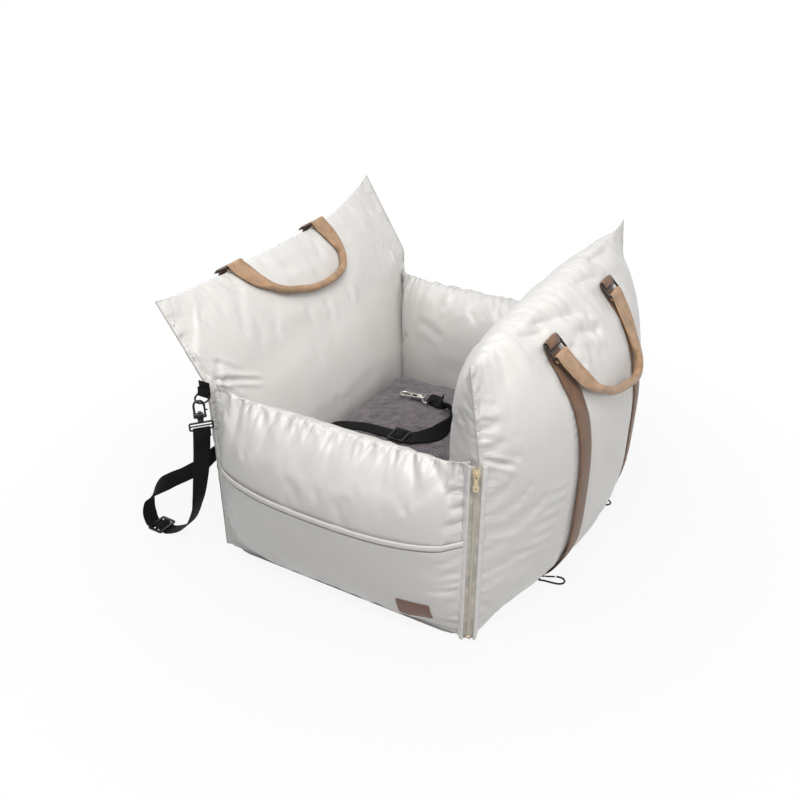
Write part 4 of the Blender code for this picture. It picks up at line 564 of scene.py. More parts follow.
class Wall:
    """A stuffed wall: two faces that meet along the ridge and at both end seams."""

    def __init__(self, name, outer, inner, half, seam, ends, turn, away, skew, count):
        self.name, self.half, self.seam, self.ends = name, half, seam, ends
        self.turn, self.skew = turn, skew
        self.profile = {"outer": outer, "inner": inner}
        self.away = {"outer": np.array(away), "inner": -np.array(away)}
        self.us = np.sin(np.pi / 2 * np.linspace(-1, 1, count[0]))
        self.ts = np.linspace(0, 1, count[1])
        self.grid = {side: self.shape(side) for side in ("outer", "inner")}

    def shape(self, side):
        u, t = self.us[:, None], self.ts[None, :]
        middle = smooth_line(self.profile[side], self.ts)
        s_across, s_up, s_past = self.seam(u, t)
        power, root = self.ends(t, side)
        full = np.maximum(0, 1 - np.abs(u) ** power) ** root * (1 + self.skew * u * (1 - t))
        if self.away["outer"][0] < 0:
            drawn = smoothstep(np.abs(u), 0.47, 0.80) * smoothstep(t, 0.72, 1.0)
            full = full + (1 - u * u - full) * drawn
        a = s_across + (middle[:, 0] - s_across) * full
        z = s_up + (middle[:, 1] - s_up) * full
        along = u * self.half + np.sign(u) * s_past * np.abs(u) ** 6
        along = along + 0 * t
        return self.turn(a, along, z)

    def indexed(self, floor_rows):
        """Points and faces of the closed wall."""
        outer, inner = self.grid["outer"], self.grid["inner"]
        nu, nk = outer.shape[:2]
        index = {"outer": np.arange(nu * nk).reshape(nu, nk)}
        points = list(outer.reshape(-1, 3))
        other = np.empty((nu, nk), int)
        for i in range(nu):
            for k in range(nk):
                if i in (0, nu - 1) or k == nk - 1:
                    other[i, k] = index["outer"][i, k]
                else:
                    other[i, k] = len(points)
                    points.append(inner[i, k])
        index["inner"] = other
        faces = []

        def add(*quad):
            quad = [int(v) for n, v in enumerate(quad) if v not in quad[:n]]
            if len(quad) > 2:
                faces.append(quad)

        for side in ("outer", "inner"):
            g = index[side]
            for i in range(nu - 1):
                for k in range(nk - 1):
                    quad = [g[i, k], g[i + 1, k], g[i + 1, k + 1], g[i, k + 1]]
                    add(*(quad if side == "outer" else quad[::-1]))
        rows = [index["outer"][:, 0]]
        for r in range(1, floor_rows):
            row = [int(rows[0][0])]
            for i in range(1, nu - 1):
                row.append(len(points))
                points.append(outer[i, 0] + (inner[i, 0] - outer[i, 0]) * r / floor_rows)
            rows.append(row + [int(rows[0][-1])])
        rows.append(index["inner"][:, 0])
        for a, b in zip(rows, rows[1:]):
            for i in range(nu - 1):
                add(a[i], b[i], b[i + 1], a[i + 1])
        self.index = index
        return points, faces

    def within(self, side_in, top_in, foot_in):
        """A share that falls to nothing at the end seams, the ridge and the foot."""
        share = smoothstep(np.abs(self.us), 1.0, side_in)[:, None]
        share = share * smoothstep(self.ts, 1.0, top_in)[None, :]
        return share * smoothstep(self.ts, 0.0, foot_in)[None, :]

    def settle(self, inset, extra, force, guard, bulk, ripple):
        """Fills the wall by cloth simulation and keeps what may move of it."""
        base = dict(self.grid)
        for side in self.grid:
            n = grid_normals(base[side], self.away[side])
            full = self.within(0.9, 0.9, 0.05)
            self.grid[side] = base[side] - n * (inset * full)[..., None]
        points, faces = self.indexed(1)
        obj = bare_object("filling", points, faces)
        turn_out(obj.data)
        pins = obj.vertex_groups.new(name="pins")
        held = set()
        for g in self.index.values():
            held |= set(g[0]) | set(g[-1]) | set(g[:, -1]) | set(g[:, 0])
        pins.add([int(v) for v in held], 1.0, "REPLACE")
        co = simulated(obj, 20, tension_stiffness=15, compression_stiffness=15, shear_stiffness=5,
                       bending_stiffness=0.3, air_damping=2.0, uniform_pressure_force=force,
                       vertex_group_mass="pins", shrink_min=-extra)
        bpy.data.objects.remove(obj, do_unlink=True)
        for side in ("outer", "inner"):
            moved = co[self.index[side]] - base[side]
            n = grid_normals(base[side], self.away[side])
            out = (moved * n).sum(2)
            slow = blurred(out, 60)
            fast = np.clip(out - slow, -ripple, ripple)
            free = guard(base[side])
            high = np.clip(slow, -bulk, bulk * free) + fast * (0.25 + 0.75 * free)
            side_way = moved - n * out[..., None]
            size = np.linalg.norm(side_way, axis=2, keepdims=True)
            side_way *= np.minimum(1, SIDE_SLIP / np.maximum(size, 1e-9))
            edge = self.within(0.97, 0.97, 0.03)
            self.grid[side] = base[side] + (n * high[..., None] + side_way) * edge[..., None]

    def refine(self):
        for side in self.grid:
            self.grid[side] = doubled(self.grid[side])
        self.us, self.ts = [np.interp(np.linspace(0, len(a) - 1, 2 * len(a) - 1), range(len(a)), a)
                            for a in (self.us, self.ts)]
        for end in (0, -1):
            self.grid["inner"][end] = self.grid["outer"][end]
        self.grid["inner"][:, -1] = self.grid["outer"][:, -1]

    def soften(self, times, reach):
        """Rounds the cloth where it turns over the ridge."""
        outer, inner = self.grid["outer"], self.grid["inner"]
        m = outer.shape[1]
        start = np.concatenate([outer, inner[:, ::-1][:, 1:]], axis=1)
        line = eased(start.swapaxes(0, 1), times).swapaxes(0, 1)
        off = np.abs(np.arange(line.shape[1]) - (m - 1))
        share = smoothstep(reach - off, 0, reach * 0.6)[None, :]
        share = share * (1 - np.abs(self.us)[:, None] ** 10)
        line = start + (line - start) * share[..., None]
        self.grid["outer"] = line[:, :m]
        self.grid["inner"] = line[:, m - 1:][:, ::-1]

    def places(self, side):
        """Distances along the wall, down from the ridge, and in from the end seams."""
        g = self.grid[side]
        down = np.linalg.norm(np.diff(g, axis=1), axis=2)
        down = np.concatenate([np.cumsum(down[:, ::-1], axis=1)[:, ::-1], np.zeros((len(g), 1))], 1)
        steps = np.linalg.norm(np.diff(g, axis=0), axis=2)
        low = np.concatenate([np.zeros((1, g.shape[1])), np.cumsum(steps, axis=0)])
        high = low[-1:] - low
        x = self.us[:, None] * self.half + 0 * down
        return x, down, low, high

    def push(self, side, height, guard=None):
        """Moves the cloth of one face out by a grid of heights."""
        g = self.grid[side]
        n = grid_normals(g, self.away[side])
        if guard is not None:
            height = height * guard(g)
        self.grid[side] = g + n * (height * self.within(0.995, 0.985, 0.02))[..., None]

    def build(self, look):
        points, faces = self.indexed(10)
        uvs, ends = np.full((len(points), 2), 1.0), np.full((len(points), 2), 1.0)
        for side in ("inner", "outer"):
            x, down, low, high = self.places(side)
            at = self.index[side].ravel()
            uvs[at] = np.stack([x.ravel(), down.ravel()], 1)
            z = self.grid[side][..., 2]
            ends[at] = np.stack([z.ravel(), np.minimum(low, high).ravel()], 1)
        return mesh_object(self.name, points, faces, look, uvs=uvs, ends=ends)

    def line_at(self, u, side):
        """The column of points up one face at u, from the floor to the ridge."""
        i = np.interp(u, self.us, range(len(self.us)))
        i0 = min(int(i), len(self.us) - 2)
        g = self.grid[side]
        return g[i0] + (g[i0 + 1] - g[i0]) * (i - i0)

    def over(self, u, first, last, count):
        """Points up the outer face, over the ridge and down the inner one."""
        line = np.concatenate([self.line_at(u, "outer"), self.line_at(u, "inner")[::-1][1:]])
        marks = np.concatenate([self.ts, 2 - self.ts[::-1][1:]])
        return at_marks(np.linspace(first, last, count), marks, line)


def gathers(x, s, seed, count, span, deep, wide, reach, lean=0.0, start=0.004):
    """Folds that run off a seam: x along the seam and s away from it, in metres."""
    rng = np.random.default_rng(seed)
    out = np.zeros_like(x)
    for j in range(count):
        at = span[0] + (span[1] - span[0]) * (j + rng.uniform(0.1, 0.9)) / count
        w = wide * rng.uniform(0.6, 1.5)
        far = reach * rng.uniform(0.45, 1.3)
        tilt = rng.uniform(-0.45, 0.45) + lean
        bow = rng.uniform(-6, 6)
        d = (x - at - tilt * s - bow * s * s) / (w * (1 + 0.7 * s / far))
        fade = np.clip(s / start, 0, 1) * np.exp(-(s / far) ** 2)
        shape = -np.exp(-1.4 * np.abs(d)) + 0.5 * np.exp(-((np.abs(d) - 1.7) / 0.8) ** 2)
        out += deep * rng.uniform(0.5, 1.2) * shape * fade
    return out


def crease(points, line, deep, wide, shoulder=0.5, end_fade=0.25):
    """A fold pressed in along a line of points in space, for a grid of points."""
    p = points.reshape(-1, 3)
    line = smooth_line(line, 24)
    gone = np.linspace(0, 1, 24)
    best = np.full(len(p), 1e9)
    where = np.zeros(len(p))
    for i in range(23):
        a, b = line[i], line[i + 1]
        ab = b - a
        t = np.clip(((p - a) @ ab) / max(ab @ ab, 1e-12), 0, 1)
        d = np.linalg.norm(p - a - t[:, None] * ab, axis=1)
        near = d < best
        best[near] = d[near]
        where[near] = gone[i] + t[near] / 23
    taper = smoothstep(where, -0.01, end_fade) * smoothstep(1 - where, -0.01, end_fade)
    d = best / wide
    shape = -np.exp(-1.3 * d) + shoulder * np.exp(-((d - 2.2) / 1.1) ** 2)
    return (deep * shape * taper).reshape(points.shape[:-1])


def scaled(rows):
    """Places from tenths of a millimetre and, after them, directions from thousandths."""
    rows = np.array(rows, float)
    return np.concatenate([rows[:, :3] / 10000, rows[:, 3:] / 1000], 1)


# Routes as in the part's source. Webbings: place and way across. Straps: the middle of the
# buckle's bar, the way ahead and the way out. Handles: places along the grip, the ways down
# and out, and the two bars
ROUTES = {
    "belt_webbing": scaled([
        (-2292, -3256, 2270, 669, 743, 0), (-2281, -3267, 2410, 669, 743, 0),
        (-2286, -3261, 2428, 669, 743, 0), (-2300, -3249, 2436, 669, 743, 0),
        (-2314, -3237, 2428, 669, 743, 0), (-2319, -3232, 2410, 669, 743, 0),
        (-2361, -3209, 2223, 682, 728, -69), (-2403, -3189, 2037, 705, 704, -87),
        (-2446, -3171, 1850, 674, 733, -94), (-2489, -3158, 1663, 640, 761, -108),
        (-2531, -3152, 1475, 540, 835, -103), (-2574, -3149, 1287, 433, 897, -90),
        (-2616, -3149, 1099, 311, 947, -79), (-2662, -3152, 912, 182, 981, -71),
        (-2716, -3157, 728, -12, 999, -35), (-2786, -3166, 549, -21, 999, -47),
        (-2874, -3177, 378, -34, 998, -52), (-2995, -3190, 229, -47, 998, -45),
        (-3148, -3202, 115, -52, 998, -30), (-3350, -3214, 23, -33, 999, -17),
        (-3431, -3213, 23, 20, 1000, 0), (-3470, -3212, 28, 20, 1000, 0),
        (-3524, -3211, 72, 20, 1000, 0), (-3560, -3210, 74, 20, 1000, 0),
        (-3596, -3209, 72, 20, 1000, 0), (-3650, -3208, 28, 20, 1000, 0),
        (-3689, -3207, 23, 20, 1000, 0), (-3770, -3206, 23, 222, 966, -129),
        (-3878, -3148, 144, 337, 900, -275), (-3932, -3060, 302, 5, 883, -469),
        (-3880, -2977, 465, -622, 782, -52), (-3766, -2908, 604, -712, 524, 468),
        (-3621, -2851, 717, -595, 41, 803), (-3467, -2802, 820, -531, -40, 847),
        (-3307, -2757, 918, -505, -161, 848), (-3156, -2703, 1024, -521, -221, 825),
        (-3016, -2633, 1136, -491, -342, 801), (-2905, -2528, 1253, -282, -450, 848),
        (-2851, -2369, 1331, -29, -157, 987), (-2837, -2161, 1313, -20, 166, 986),
        (-2896, -1989, 1266, -76, 238, 968), (-2949, -1810, 1219, -65, 244, 968),
        (-2991, -1633, 1170, -57, 256, 965), (-3029, -1452, 1119, -44, 243, 969),
        (-3056, -1270, 1076, -30, 198, 980), (-3084, -1087, 1043, -18, 145, 989),
        (-3103, -896, 1020, -10, 106, 994), (-3121, -709, 1003, -5, 70, 998),
        (-3130, -517, 993, -2, 35, 999), (-3140, -328, 989, 0, 8, 1000),
        (-3142, -135, 990, 0, -17, 1000), (-3145, 55, 995, 0, -47, 999),
        (-3144, 247, 1008, -1, -91, 996), (-3141, 435, 1030, -3, -145, 989),
        (-3135, 625, 1064, -8, -200, 980), (-3127, 809, 1106, -15, -248, 969),
        (-3113, 994, 1158, -26, -290, 957), (-3094, 1173, 1217, -42, -336, 941),
        (-3069, 1350, 1287, -58, -384, 922), (-3041, 1521, 1366, -75, -420, 904),
        (-3008, 1691, 1451, -96, -449, 888), (-2970, 1854, 1542, -117, -474, 873),
        (-2928, 2015, 1638, -144, -496, 856), (-2879, 2168, 1739, -175, -523, 834),
        (-2828, 2317, 1848, -210, -548, 810), (-2768, 2458, 1964, -252, -565, 786),
        (-2705, 2592, 2085, -290, -573, 767), (-2635, 2720, 2210, -344, -567, 749),
        (-2556, 2837, 2339, -410, -568, 713), (-2477, 2940, 2476, -489, -554, 674),
        (-2387, 3029, 2620, -532, -529, 661),
    ]),
    "tether_webbing": scaled([
        (-1488, -1180, 1360, 0, -1000, -7), (-1483, -1181, 1453, -37, -997, 64),
        (-1451, -1170, 1538, 73, -974, 216), (-1375, -1143, 1585, 398, -911, 104),
        (-1298, -1096, 1605, 604, -797, 24), (-1230, -1032, 1604, 617, -787, -5),
        (-1152, -981, 1600, 454, -891, 1), (-1065, -948, 1602, 297, -955, -4),
        (-974, -926, 1613, 193, -981, 2), (-881, -912, 1625, 84, -996, 11),
        (-788, -910, 1637, -23, -1000, -3), (-695, -917, 1649, -91, -996, -11),
        (-602, -927, 1659, -105, -994, -11), (-509, -936, 1669, -74, -997, -6),
        (-416, -941, 1675, 13, -1000, 0), (-330, -934, 1675, 49, -999, 0),
        (-249, -933, 1675, 20, -1000, 0), (-210, -932, 1680, 20, -1000, 0),
        (-156, -931, 1724, 20, -1000, 0), (-120, -930, 1726, 20, -1000, 0),
        (-84, -929, 1724, 20, -1000, 0), (-30, -928, 1680, 20, -1000, 0),
        (9, -927, 1675, 20, -1000, 0), (90, -926, 1675, 392, -919, 49),
        (135, -873, 1692, 638, -753, -164), (215, -825, 1699, 559, -769, -311),
        (288, -767, 1706, 626, -649, -433), (353, -701, 1713, 657, -519, -547),
        (409, -626, 1717, 696, -343, -631), (452, -543, 1736, 607, -108, -788),
        (482, -455, 1750, 400, 11, -916), (499, -363, 1759, 200, 52, -978),
        (497, -269, 1763, 78, 60, -995), (478, -178, 1768, -22, 52, -998),
        (446, -90, 1774, -86, 22, -996), (400, -9, 1779, -93, -7, -996),
        (339, 62, 1782, 97, 76, -992), (269, 124, 1776, 398, 257, -881),
        (197, 183, 1753, 409, 538, -737), (122, 238, 1777, 183, 308, -934),
        (45, 291, 1759, -122, -687, -716), (-34, 341, 1706, -417, -844, -338),
        (-115, 387, 1716, -208, -977, 43), (-196, 376, 1724, 131, -991, 2),
        (-226, 371, 1723, 152, -988, 0), (-244, 369, 1716, 152, -988, 0),
        (-252, 367, 1697, 152, -988, 0), (-244, 369, 1679, 152, -988, 0),
        (-226, 371, 1671, 152, -988, 0), (-137, 385, 1669, 152, -988, 0),
    ]),
    "right_front_strap": [
        (0.24399, -0.121, 0.42025), (-0.67229, 0.0, 0.74029), (0.74029, 0.0, 0.67229),
    ],
    "right_rear_strap": [
        (0.24399, 0.121, 0.42025), (-0.67229, 0.0, 0.74029), (0.74029, 0.0, 0.67229),
    ],
    "right_handle": {
        "points": scaled([
            (2867, -1214, 3710), (2912, -1156, 3650), (2952, -1076, 3600), (2984, -1002, 3557),
            (3028, -923, 3483), (3053, -844, 3440), (3078, -763, 3395), (3105, -675, 3336),
            (3122, -591, 3293), (3139, -507, 3255), (3160, -421, 3199), (3172, -330, 3163),
            (3183, -242, 3128), (3192, -152, 3095), (3202, -62, 3066), (3210, 32, 3040),
            (3216, 124, 3017), (3222, 217, 2996), (3228, 311, 2976), (3232, 410, 2957),
            (3235, 503, 2939), (3241, 598, 2903), (3240, 693, 2893), (3236, 795, 2886),
            (3230, 889, 2889), (3217, 980, 2926), (3200, 1057, 2973), (3176, 1122, 3043),
            (3151, 1163, 3125), (3124, 1187, 3222), (3092, 1198, 3311), (3055, 1202, 3409),
            (3016, 1209, 3494),
        ]),
        "down": [0.6977, 0.0, -0.7164],
        "out": [0.7164, 0.0, 0.6977],
        "bars": [[0.26074, -0.121, 0.40306], [0.26074, 0.121, 0.40306]],
    },
    "left_front_strap": [
        (-0.32763, -0.121, 0.41384), (0.7491, 0.0, 0.66245), (-0.66245, 0.0, 0.7491),
    ],
    "left_rear_strap": [
        (-0.32763, 0.121, 0.41384), (0.7491, 0.0, 0.66245), (-0.66245, 0.0, 0.7491),
    ],
    "left_handle": {
        "points": scaled([
            (-2941, -1210, 4205), (-2854, -1180, 4164), (-2749, -1137, 4066), (-2694, -1075, 3995),
            (-2643, -1006, 3929), (-2597, -928, 3870), (-2556, -841, 3805), (-2525, -749, 3757),
            (-2497, -653, 3714), (-2474, -554, 3676), (-2454, -453, 3646), (-2438, -349, 3620),
            (-2423, -245, 3596), (-2402, -140, 3557), (-2390, -34, 3533), (-2380, 72, 3513),
            (-2373, 179, 3499), (-2369, 288, 3490), (-2366, 396, 3483), (-2364, 505, 3481),
            (-2365, 614, 3481), (-2368, 722, 3487), (-2375, 830, 3502), (-2387, 934, 3528),
            (-2406, 1034, 3567), (-2446, 1123, 3635), (-2490, 1193, 3705), (-2543, 1232, 3790),
            (-2609, 1251, 3889), (-2674, 1260, 3974), (-2740, 1249, 4059), (-2853, 1228, 4168),
            (-2939, 1209, 4209),
        ]),
        "down": [0.7507, 0.0, -0.6606],
        "out": [0.6606, 0.0, 0.7507],
        "bars": [[-0.30673, -0.121, 0.42566], [-0.30673, 0.121, 0.42566]],
    },
}


def make_wall_shapes():
    """The four walls before they are filled. The left one is drawn in at its rear."""
    outer, inner = tall_profiles(SIDE_IN, (-RIGHT_LEAN - 0.006, TALL_HEIGHT - 0.004), True)
    right = Wall(
        "right_wall", outer, inner, HALF_L, right_seam, tall_ends,
        lambda a, along, z: np.stack([HALF_W + a, along, z], 2), (1, 0, 0), 0.10, (73, 46),
    )
    outer, inner = tall_profiles(LEFT_IN, (LEFT_LEAN + 0.010, TALL_HEIGHT - 0.040), False)
    left = Wall(
        "left_wall", outer, inner, HALF_L, left_seam, tall_ends,
        lambda a, along, z: np.stack([-HALF_W - a, along, z], 2), (-1, 0, 0), 0.0, (73, 46),
    )
    rear = smoothstep(left.us, 0.25, 0.85)[:, None]
    tip = smoothstep(left.us, 0.50, 1.0)[:, None] * np.maximum(0, left.ts - SEAM) / (1 - SEAM)
    bulge = left.grid["inner"][..., 0] + HALF_W
    left.grid["inner"][..., 0] -= np.maximum(0, bulge) * 0.22 * rear
    for side in ("outer", "inner"):
        left.grid[side][..., 0] -= 0.013 * tip
    h, f, b, bottom = LOW_HEIGHT, FRONT_OUT, BACK_OUT, BOTTOM
    outer = [(0, bottom), (0.42 * f, 0.11 * h), (0.77 * f, 0.265 * h), (0.96 * f, 0.44 * h)]
    outer += [(f, 0.60 * h), (0.83 * f, 0.75 * h), (0.42 * f, 0.86 * h), (-0.010, 0.922 * h)]
    inner = [(-FRONT_IN, bottom), (-FRONT_IN, 0.31 * h), (-FRONT_IN * 0.98, 0.56 * h)]
    inner += [(-FRONT_IN * 0.89, 0.75 * h), (-FRONT_IN * 0.6, 0.875 * h), (-0.010, 0.922 * h)]
    front = Wall(
        "front_wall", outer, inner, HALF_W - 0.012, low_seam, low_ends,
        lambda a, along, z: np.stack([along, -HALF_L - a, z], 2), (0, -1, 0), 0.0, (57, 32),
    )
    ridge = (-0.53 * BACK_IN, 0.972 * h)
    outer = [(0, bottom), (0.71 * b, 0.155 * h), (b, 0.34 * h), (0.9 * b, 0.53 * h)]
    outer += [(0.29 * b, 0.72 * h), (-0.19 * BACK_IN, 0.86 * h), ridge]
    inner = [(-BACK_IN, bottom), (-BACK_IN, 0.25 * h), (-BACK_IN * 0.99, 0.44 * h)]
    inner += [(-BACK_IN * 0.96, 0.60 * h), (-BACK_IN * 0.89, 0.78 * h)]
    inner += [(-BACK_IN * 0.75, 0.92 * h), ridge]
    back = Wall(
        "back_wall", outer, inner, HALF_W - 0.012, back_seam, low_ends,
        lambda a, along, z: np.stack([along, HALF_L + a, z], 2), (0, 1, 0), 0.0, (57, 32),
    )
    return {"right": right, "left": left, "front": front, "back": back}


def guard_points():
    """Where hard pieces stand, which the walls may not swell into."""
    names = [n for n in NODES if any(
        w in n for w in ("buckle", "handle", "zip", "belt_tab", "d_ring", "swivel")
    )]
    out = []
    for n in names:
        co = np.array([v.co for v in NODES[n].data.vertices])
        out.append(co[:: max(1, len(co) // 60)])
    return np.concatenate(out)


HARD_POINTS = guard_points()
HARD = KDTree(len(HARD_POINTS))
for number, point in enumerate(HARD_POINTS):
    HARD.insert(point, number)
HARD.balance()
PAD_LOW, PAD_HIGH = [Vector(p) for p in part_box("seat_pad")]


def guard(grid):
    """How far a wall may move at each point: 0 by the hard pieces and the pad, 1 elsewhere."""
    p = grid.reshape(-1, 3)
    near = np.array([HARD.find(q)[2] for q in p])
    free = smoothstep(near, 0.010, 0.045)
    side = np.maximum.reduce([
        PAD_LOW.x - p[:, 0], p[:, 0] - PAD_HIGH.x, PAD_LOW.y - p[:, 1], p[:, 1] - PAD_HIGH.y
    ])
    by_pad = (1 - smoothstep(side, 0.004, 0.02)) * (1 - smoothstep(p[:, 2], 0.165, 0.20))
    return (free * (1 - by_pad)).reshape(grid.shape[:2])


def on_photo(tree, spots):
    """Points of a wall that the camera sees at these pixels."""
    out = []
    for px, py in spots:
        at = tree.ray_cast(camera.location, ray(px, py))[0]
        if at is not None:
            out.append(tuple(at))
    return out


# Folds that the photograph shows, by wall and face: pixels, depth and width
FOLDS = {
    ("right", "outer"): [
        ([(477, 458), (496, 461), (519, 467)], 0.0070, 0.0032),
        ([(527, 324), (548, 319), (582, 313)], 0.0040, 0.0060),
        ([(570, 331), (586, 331), (602, 333)], 0.0050, 0.0050),
        ([(583, 314), (592, 323), (600, 335)], 0.0035, 0.0050),
        ([(516, 334), (532, 334), (549, 328)], 0.0035, 0.0060),
        ([(568, 342), (578, 358), (586, 372)], 0.0040, 0.0055),
        ([(588, 262), (600, 254), (612, 246)], 0.0035, 0.0070),
        ([(574, 286), (586, 279), (600, 276)], 0.0030, 0.0070),
        ([(545, 494), (556, 490), (568, 484)], 0.0035, 0.0040),
        ([(541, 509), (552, 504), (563, 498)], 0.0030, 0.0040),
        ([(534, 525), (546, 519), (559, 511)], 0.0030, 0.0045),
        ([(527, 540), (541, 532), (555, 524)], 0.0030, 0.0045),
        ([(518, 552), (534, 545), (549, 537)], 0.0028, 0.0045),
        ([(505, 592), (520, 579), (536, 563)], 0.0030, 0.0070),
        ([(492, 612), (503, 601), (513, 588)], 0.0025, 0.0060),
        ([(480, 400), (487, 404), (497, 406)], 0.0014, 0.0028),
        ([(479, 418), (486, 421), (494, 422)], 0.0014, 0.0028),
        ([(479, 436), (487, 438), (498, 438)], 0.0014, 0.0028),
    ],
    ("right", "inner"): [
        ([(447, 443), (459, 449), (472, 456)], 0.0050, 0.0030),
        ([(452, 430), (462, 436), (472, 441)], 0.0020, 0.0028),
        ([(456, 415), (464, 421), (472, 426)], 0.0014, 0.0026),
    ],
    ("left", "inner"): [
        ([(211, 380), (236, 380), (264, 381)], 0.0075, 0.0034),
        ([(192, 354), (203, 370), (212, 379)], 0.0045, 0.0034),
        ([(210, 361), (224, 366), (238, 373)], 0.0035, 0.0040),
        ([(216, 385), (230, 394), (246, 402)], 0.0040, 0.0040),
        ([(324, 297), (328, 309), (331, 322)], 0.0024, 0.0060),
        ([(346, 282), (349, 293), (351, 303)], 0.0024, 0.0055),
        ([(262, 262), (280, 268), (296, 266)], 0.0020, 0.0070),
        ([(217, 283), (231, 286), (246, 291)], 0.0024, 0.0050),
        ([(312, 236), (318, 246), (322, 258)], 0.0022, 0.0070),
    ],
    ("front", "outer"): [
        ([(456, 463), (461, 470), (463, 480)], 0.0030, 0.0040),
        ([(464, 488), (452, 493), (440, 496)], 0.0026, 0.0050),
        ([(466, 520), (456, 524), (446, 527)], 0.0026, 0.0050),
        ([(466, 505), (455, 509), (447, 509)], 0.0022, 0.0040),
    ],
    ("back", "inner"): [
        ([(418, 320), (432, 328), (446, 341)], 0.0022, 0.0070),
    ],
}
# Rounds of smoothing over the ridge, and how many points down it reaches
SOFT_RIDGE = {"right": (130, 38), "left": (20, 18), "front": (16, 14), "back": (60, 24)}


def fold_tall_wall(wall, seed):
    """Gathers off the ridge, off both end seams and off the floor seam."""
    for side in ("outer", "inner"):
        x, down, low, high = wall.places(side)
        z = wall.grid[side][..., 2]
        h = gathers(x, down, seed, 13, (-0.29, 0.29), 0.0018, 0.009, 0.060)
        h += gathers(x, down, seed + 7, 22, (-0.29, 0.29), 0.0009, 0.0045, 0.030)
        for n, s in ((1, low), (2, high)):
            h += gathers(z, s, seed + n, 20, (0.02, 0.44), 0.0008, 0.0040, 0.016)
            h += gathers(z, s, seed + n + 9, 9, (0.03, 0.42), 0.0018, 0.008, 0.045)
        h += gathers(x, z, seed + 5, 14, (-0.29, 0.29), 0.0010, 0.009, 0.035)
        seed += 20
        wall.push(side, h, guard)


def fold_low_walls(front, back):
    """Gathers off the ridges and off the front wall's end seams."""
    span = (-0.20, 0.20)
    x, down, low, high = front.places("outer")
    z = front.grid["outer"][..., 2]
    h = gathers(x, down, 11, 15, span, 0.0048, 0.0085, 0.055, 0.15)
    h += gathers(x, down, 12, 18, span, 0.0020, 0.0050, 0.026)
    h += gathers(x, down, 15, 30, span, 0.0019, 0.0034, 0.024)
    h += gathers(z, high, 13, 14, (0.03, 0.31), 0.0018, 0.006, 0.030)
    h += gathers(z, low, 14, 12, (0.03, 0.31), 0.0014, 0.006, 0.026)
    front.push("outer", h, guard)
    x, down, low, high = front.places("inner")
    front.push("inner", gathers(x, down, 11, 19, span, 0.0022, 0.0062, 0.035, -0.1), guard)
    for side, deep in (("inner", 0.0036), ("outer", 0.0024)):
        x, down, low, high = back.places(side)
        h = gathers(x, down, 21, 16, span, deep, 0.0070, 0.050)
        h += gathers(x, down, 22, 20, span, deep * 0.5, 0.0040, 0.020)
        h += gathers(x, down, 25, 26, span, deep * 0.5, 0.0034, 0.024)
        back.push(side, h, guard)


def make_walls():
    """Fills, folds and builds the walls. The trees are those of the solids they replace."""
    walls = make_wall_shapes()
    trees = {}
    for key, wall in walls.items():
        tall = key in ("right", "left")
        wall.settle(0.0025, 0.03 if tall else 0.04, 4.0, guard, 0.003, 0.0016)
        wall.refine()
        wall.refine()
        wall.soften(*SOFT_RIDGE[key])
        trees[key] = tree_of(NODES[key + "_wall_cushion"])
    fold_tall_wall(walls["right"], 3)
    fold_tall_wall(walls["left"], 5)
    fold_low_walls(walls["front"], walls["back"])
    for (key, side), folds in FOLDS.items():
        for spots, deep, wide in folds:
            line = on_photo(trees[key], spots)
            if len(line) == len(spots):
                bold = 1.5 if deep >= 0.0035 and wide >= 0.005 else 1.0
                deep, wide = 1.3 * bold * deep, 1.1 * bold * wide
                walls[key].push(side, crease(walls[key].grid[side], line, deep, wide, 0.3))
    for key in ("right", "left"):
        flatten_under_straps(walls[key], key)
    objects = {}
    for key, wall in walls.items():
        obj = wall.build("tall_cloth" if wall.half == HALF_L else "wall_cloth")
        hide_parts(key + "_wall_cushion")
        objects[key] = obj
    for low in ("front", "back"):
        for tall in ("right", "left"):
            trim(objects[low], objects[tall], 0.0006)
    return walls, objects, trees


def flatten_under_straps(wall, key):
    """Draws the cloth in along the sewn edges of the straps."""
    for side in ("outer", "inner"):
        g = wall.grid[side]
        y, z = g[..., 1], g[..., 2]
        off = np.minimum(np.abs(y - STRAP_Y), np.abs(y + STRAP_Y))
        edge = np.abs(off - STRAP_WIDE / 2 - 0.002)
        reach = np.ones_like(z)
        if side == "inner":
            reach = smoothstep(z, 0.435, 0.448) if key == "right" else smoothstep(z, 0.40, 0.42)
        elif key == "right":
            reach = 1 - smoothstep(z, 0.40, 0.43)
        dip = np.exp(-(edge / 0.007) ** 2) * 0.0022
        ripple = 0.35 * np.sin(z * 2 * math.pi / 0.021 + 3 * np.sin(z * 60) + y * 9)
        ripple = ripple * (off > STRAP_WIDE / 2)
        wall.push(side, -dip * (1 + ripple) * reach)


def trim(obj, other, grow):
    """Cuts one wall back where another stands."""
    cutter = linked("cutter", other.data.copy())
    build = bmesh.new()
    build.from_mesh(cutter.data)
    build.normal_update()
    for v in build.verts:
        v.co += v.normal * grow
    build.to_mesh(cutter.data)
    build.free()
    step = obj.modifiers.new("trim", "BOOLEAN")
    step.operation, step.solver, step.object = "DIFFERENCE", "MANIFOLD", cutter
    mesh = bpy.data.meshes.new_from_object(evaluated(obj))
    obj.modifiers.clear()
    if len(mesh.polygons) > 100:
        obj.data = mesh
    else:
        print("trim failed on", obj.name)
    bpy.data.objects.remove(cutter, do_unlink=True)


# Cords

# How far a band's rim is drawn in on its two faces, and how thick it is there
BAND_EDGE, BAND_THIN_EDGE = 0.0005, 0.72


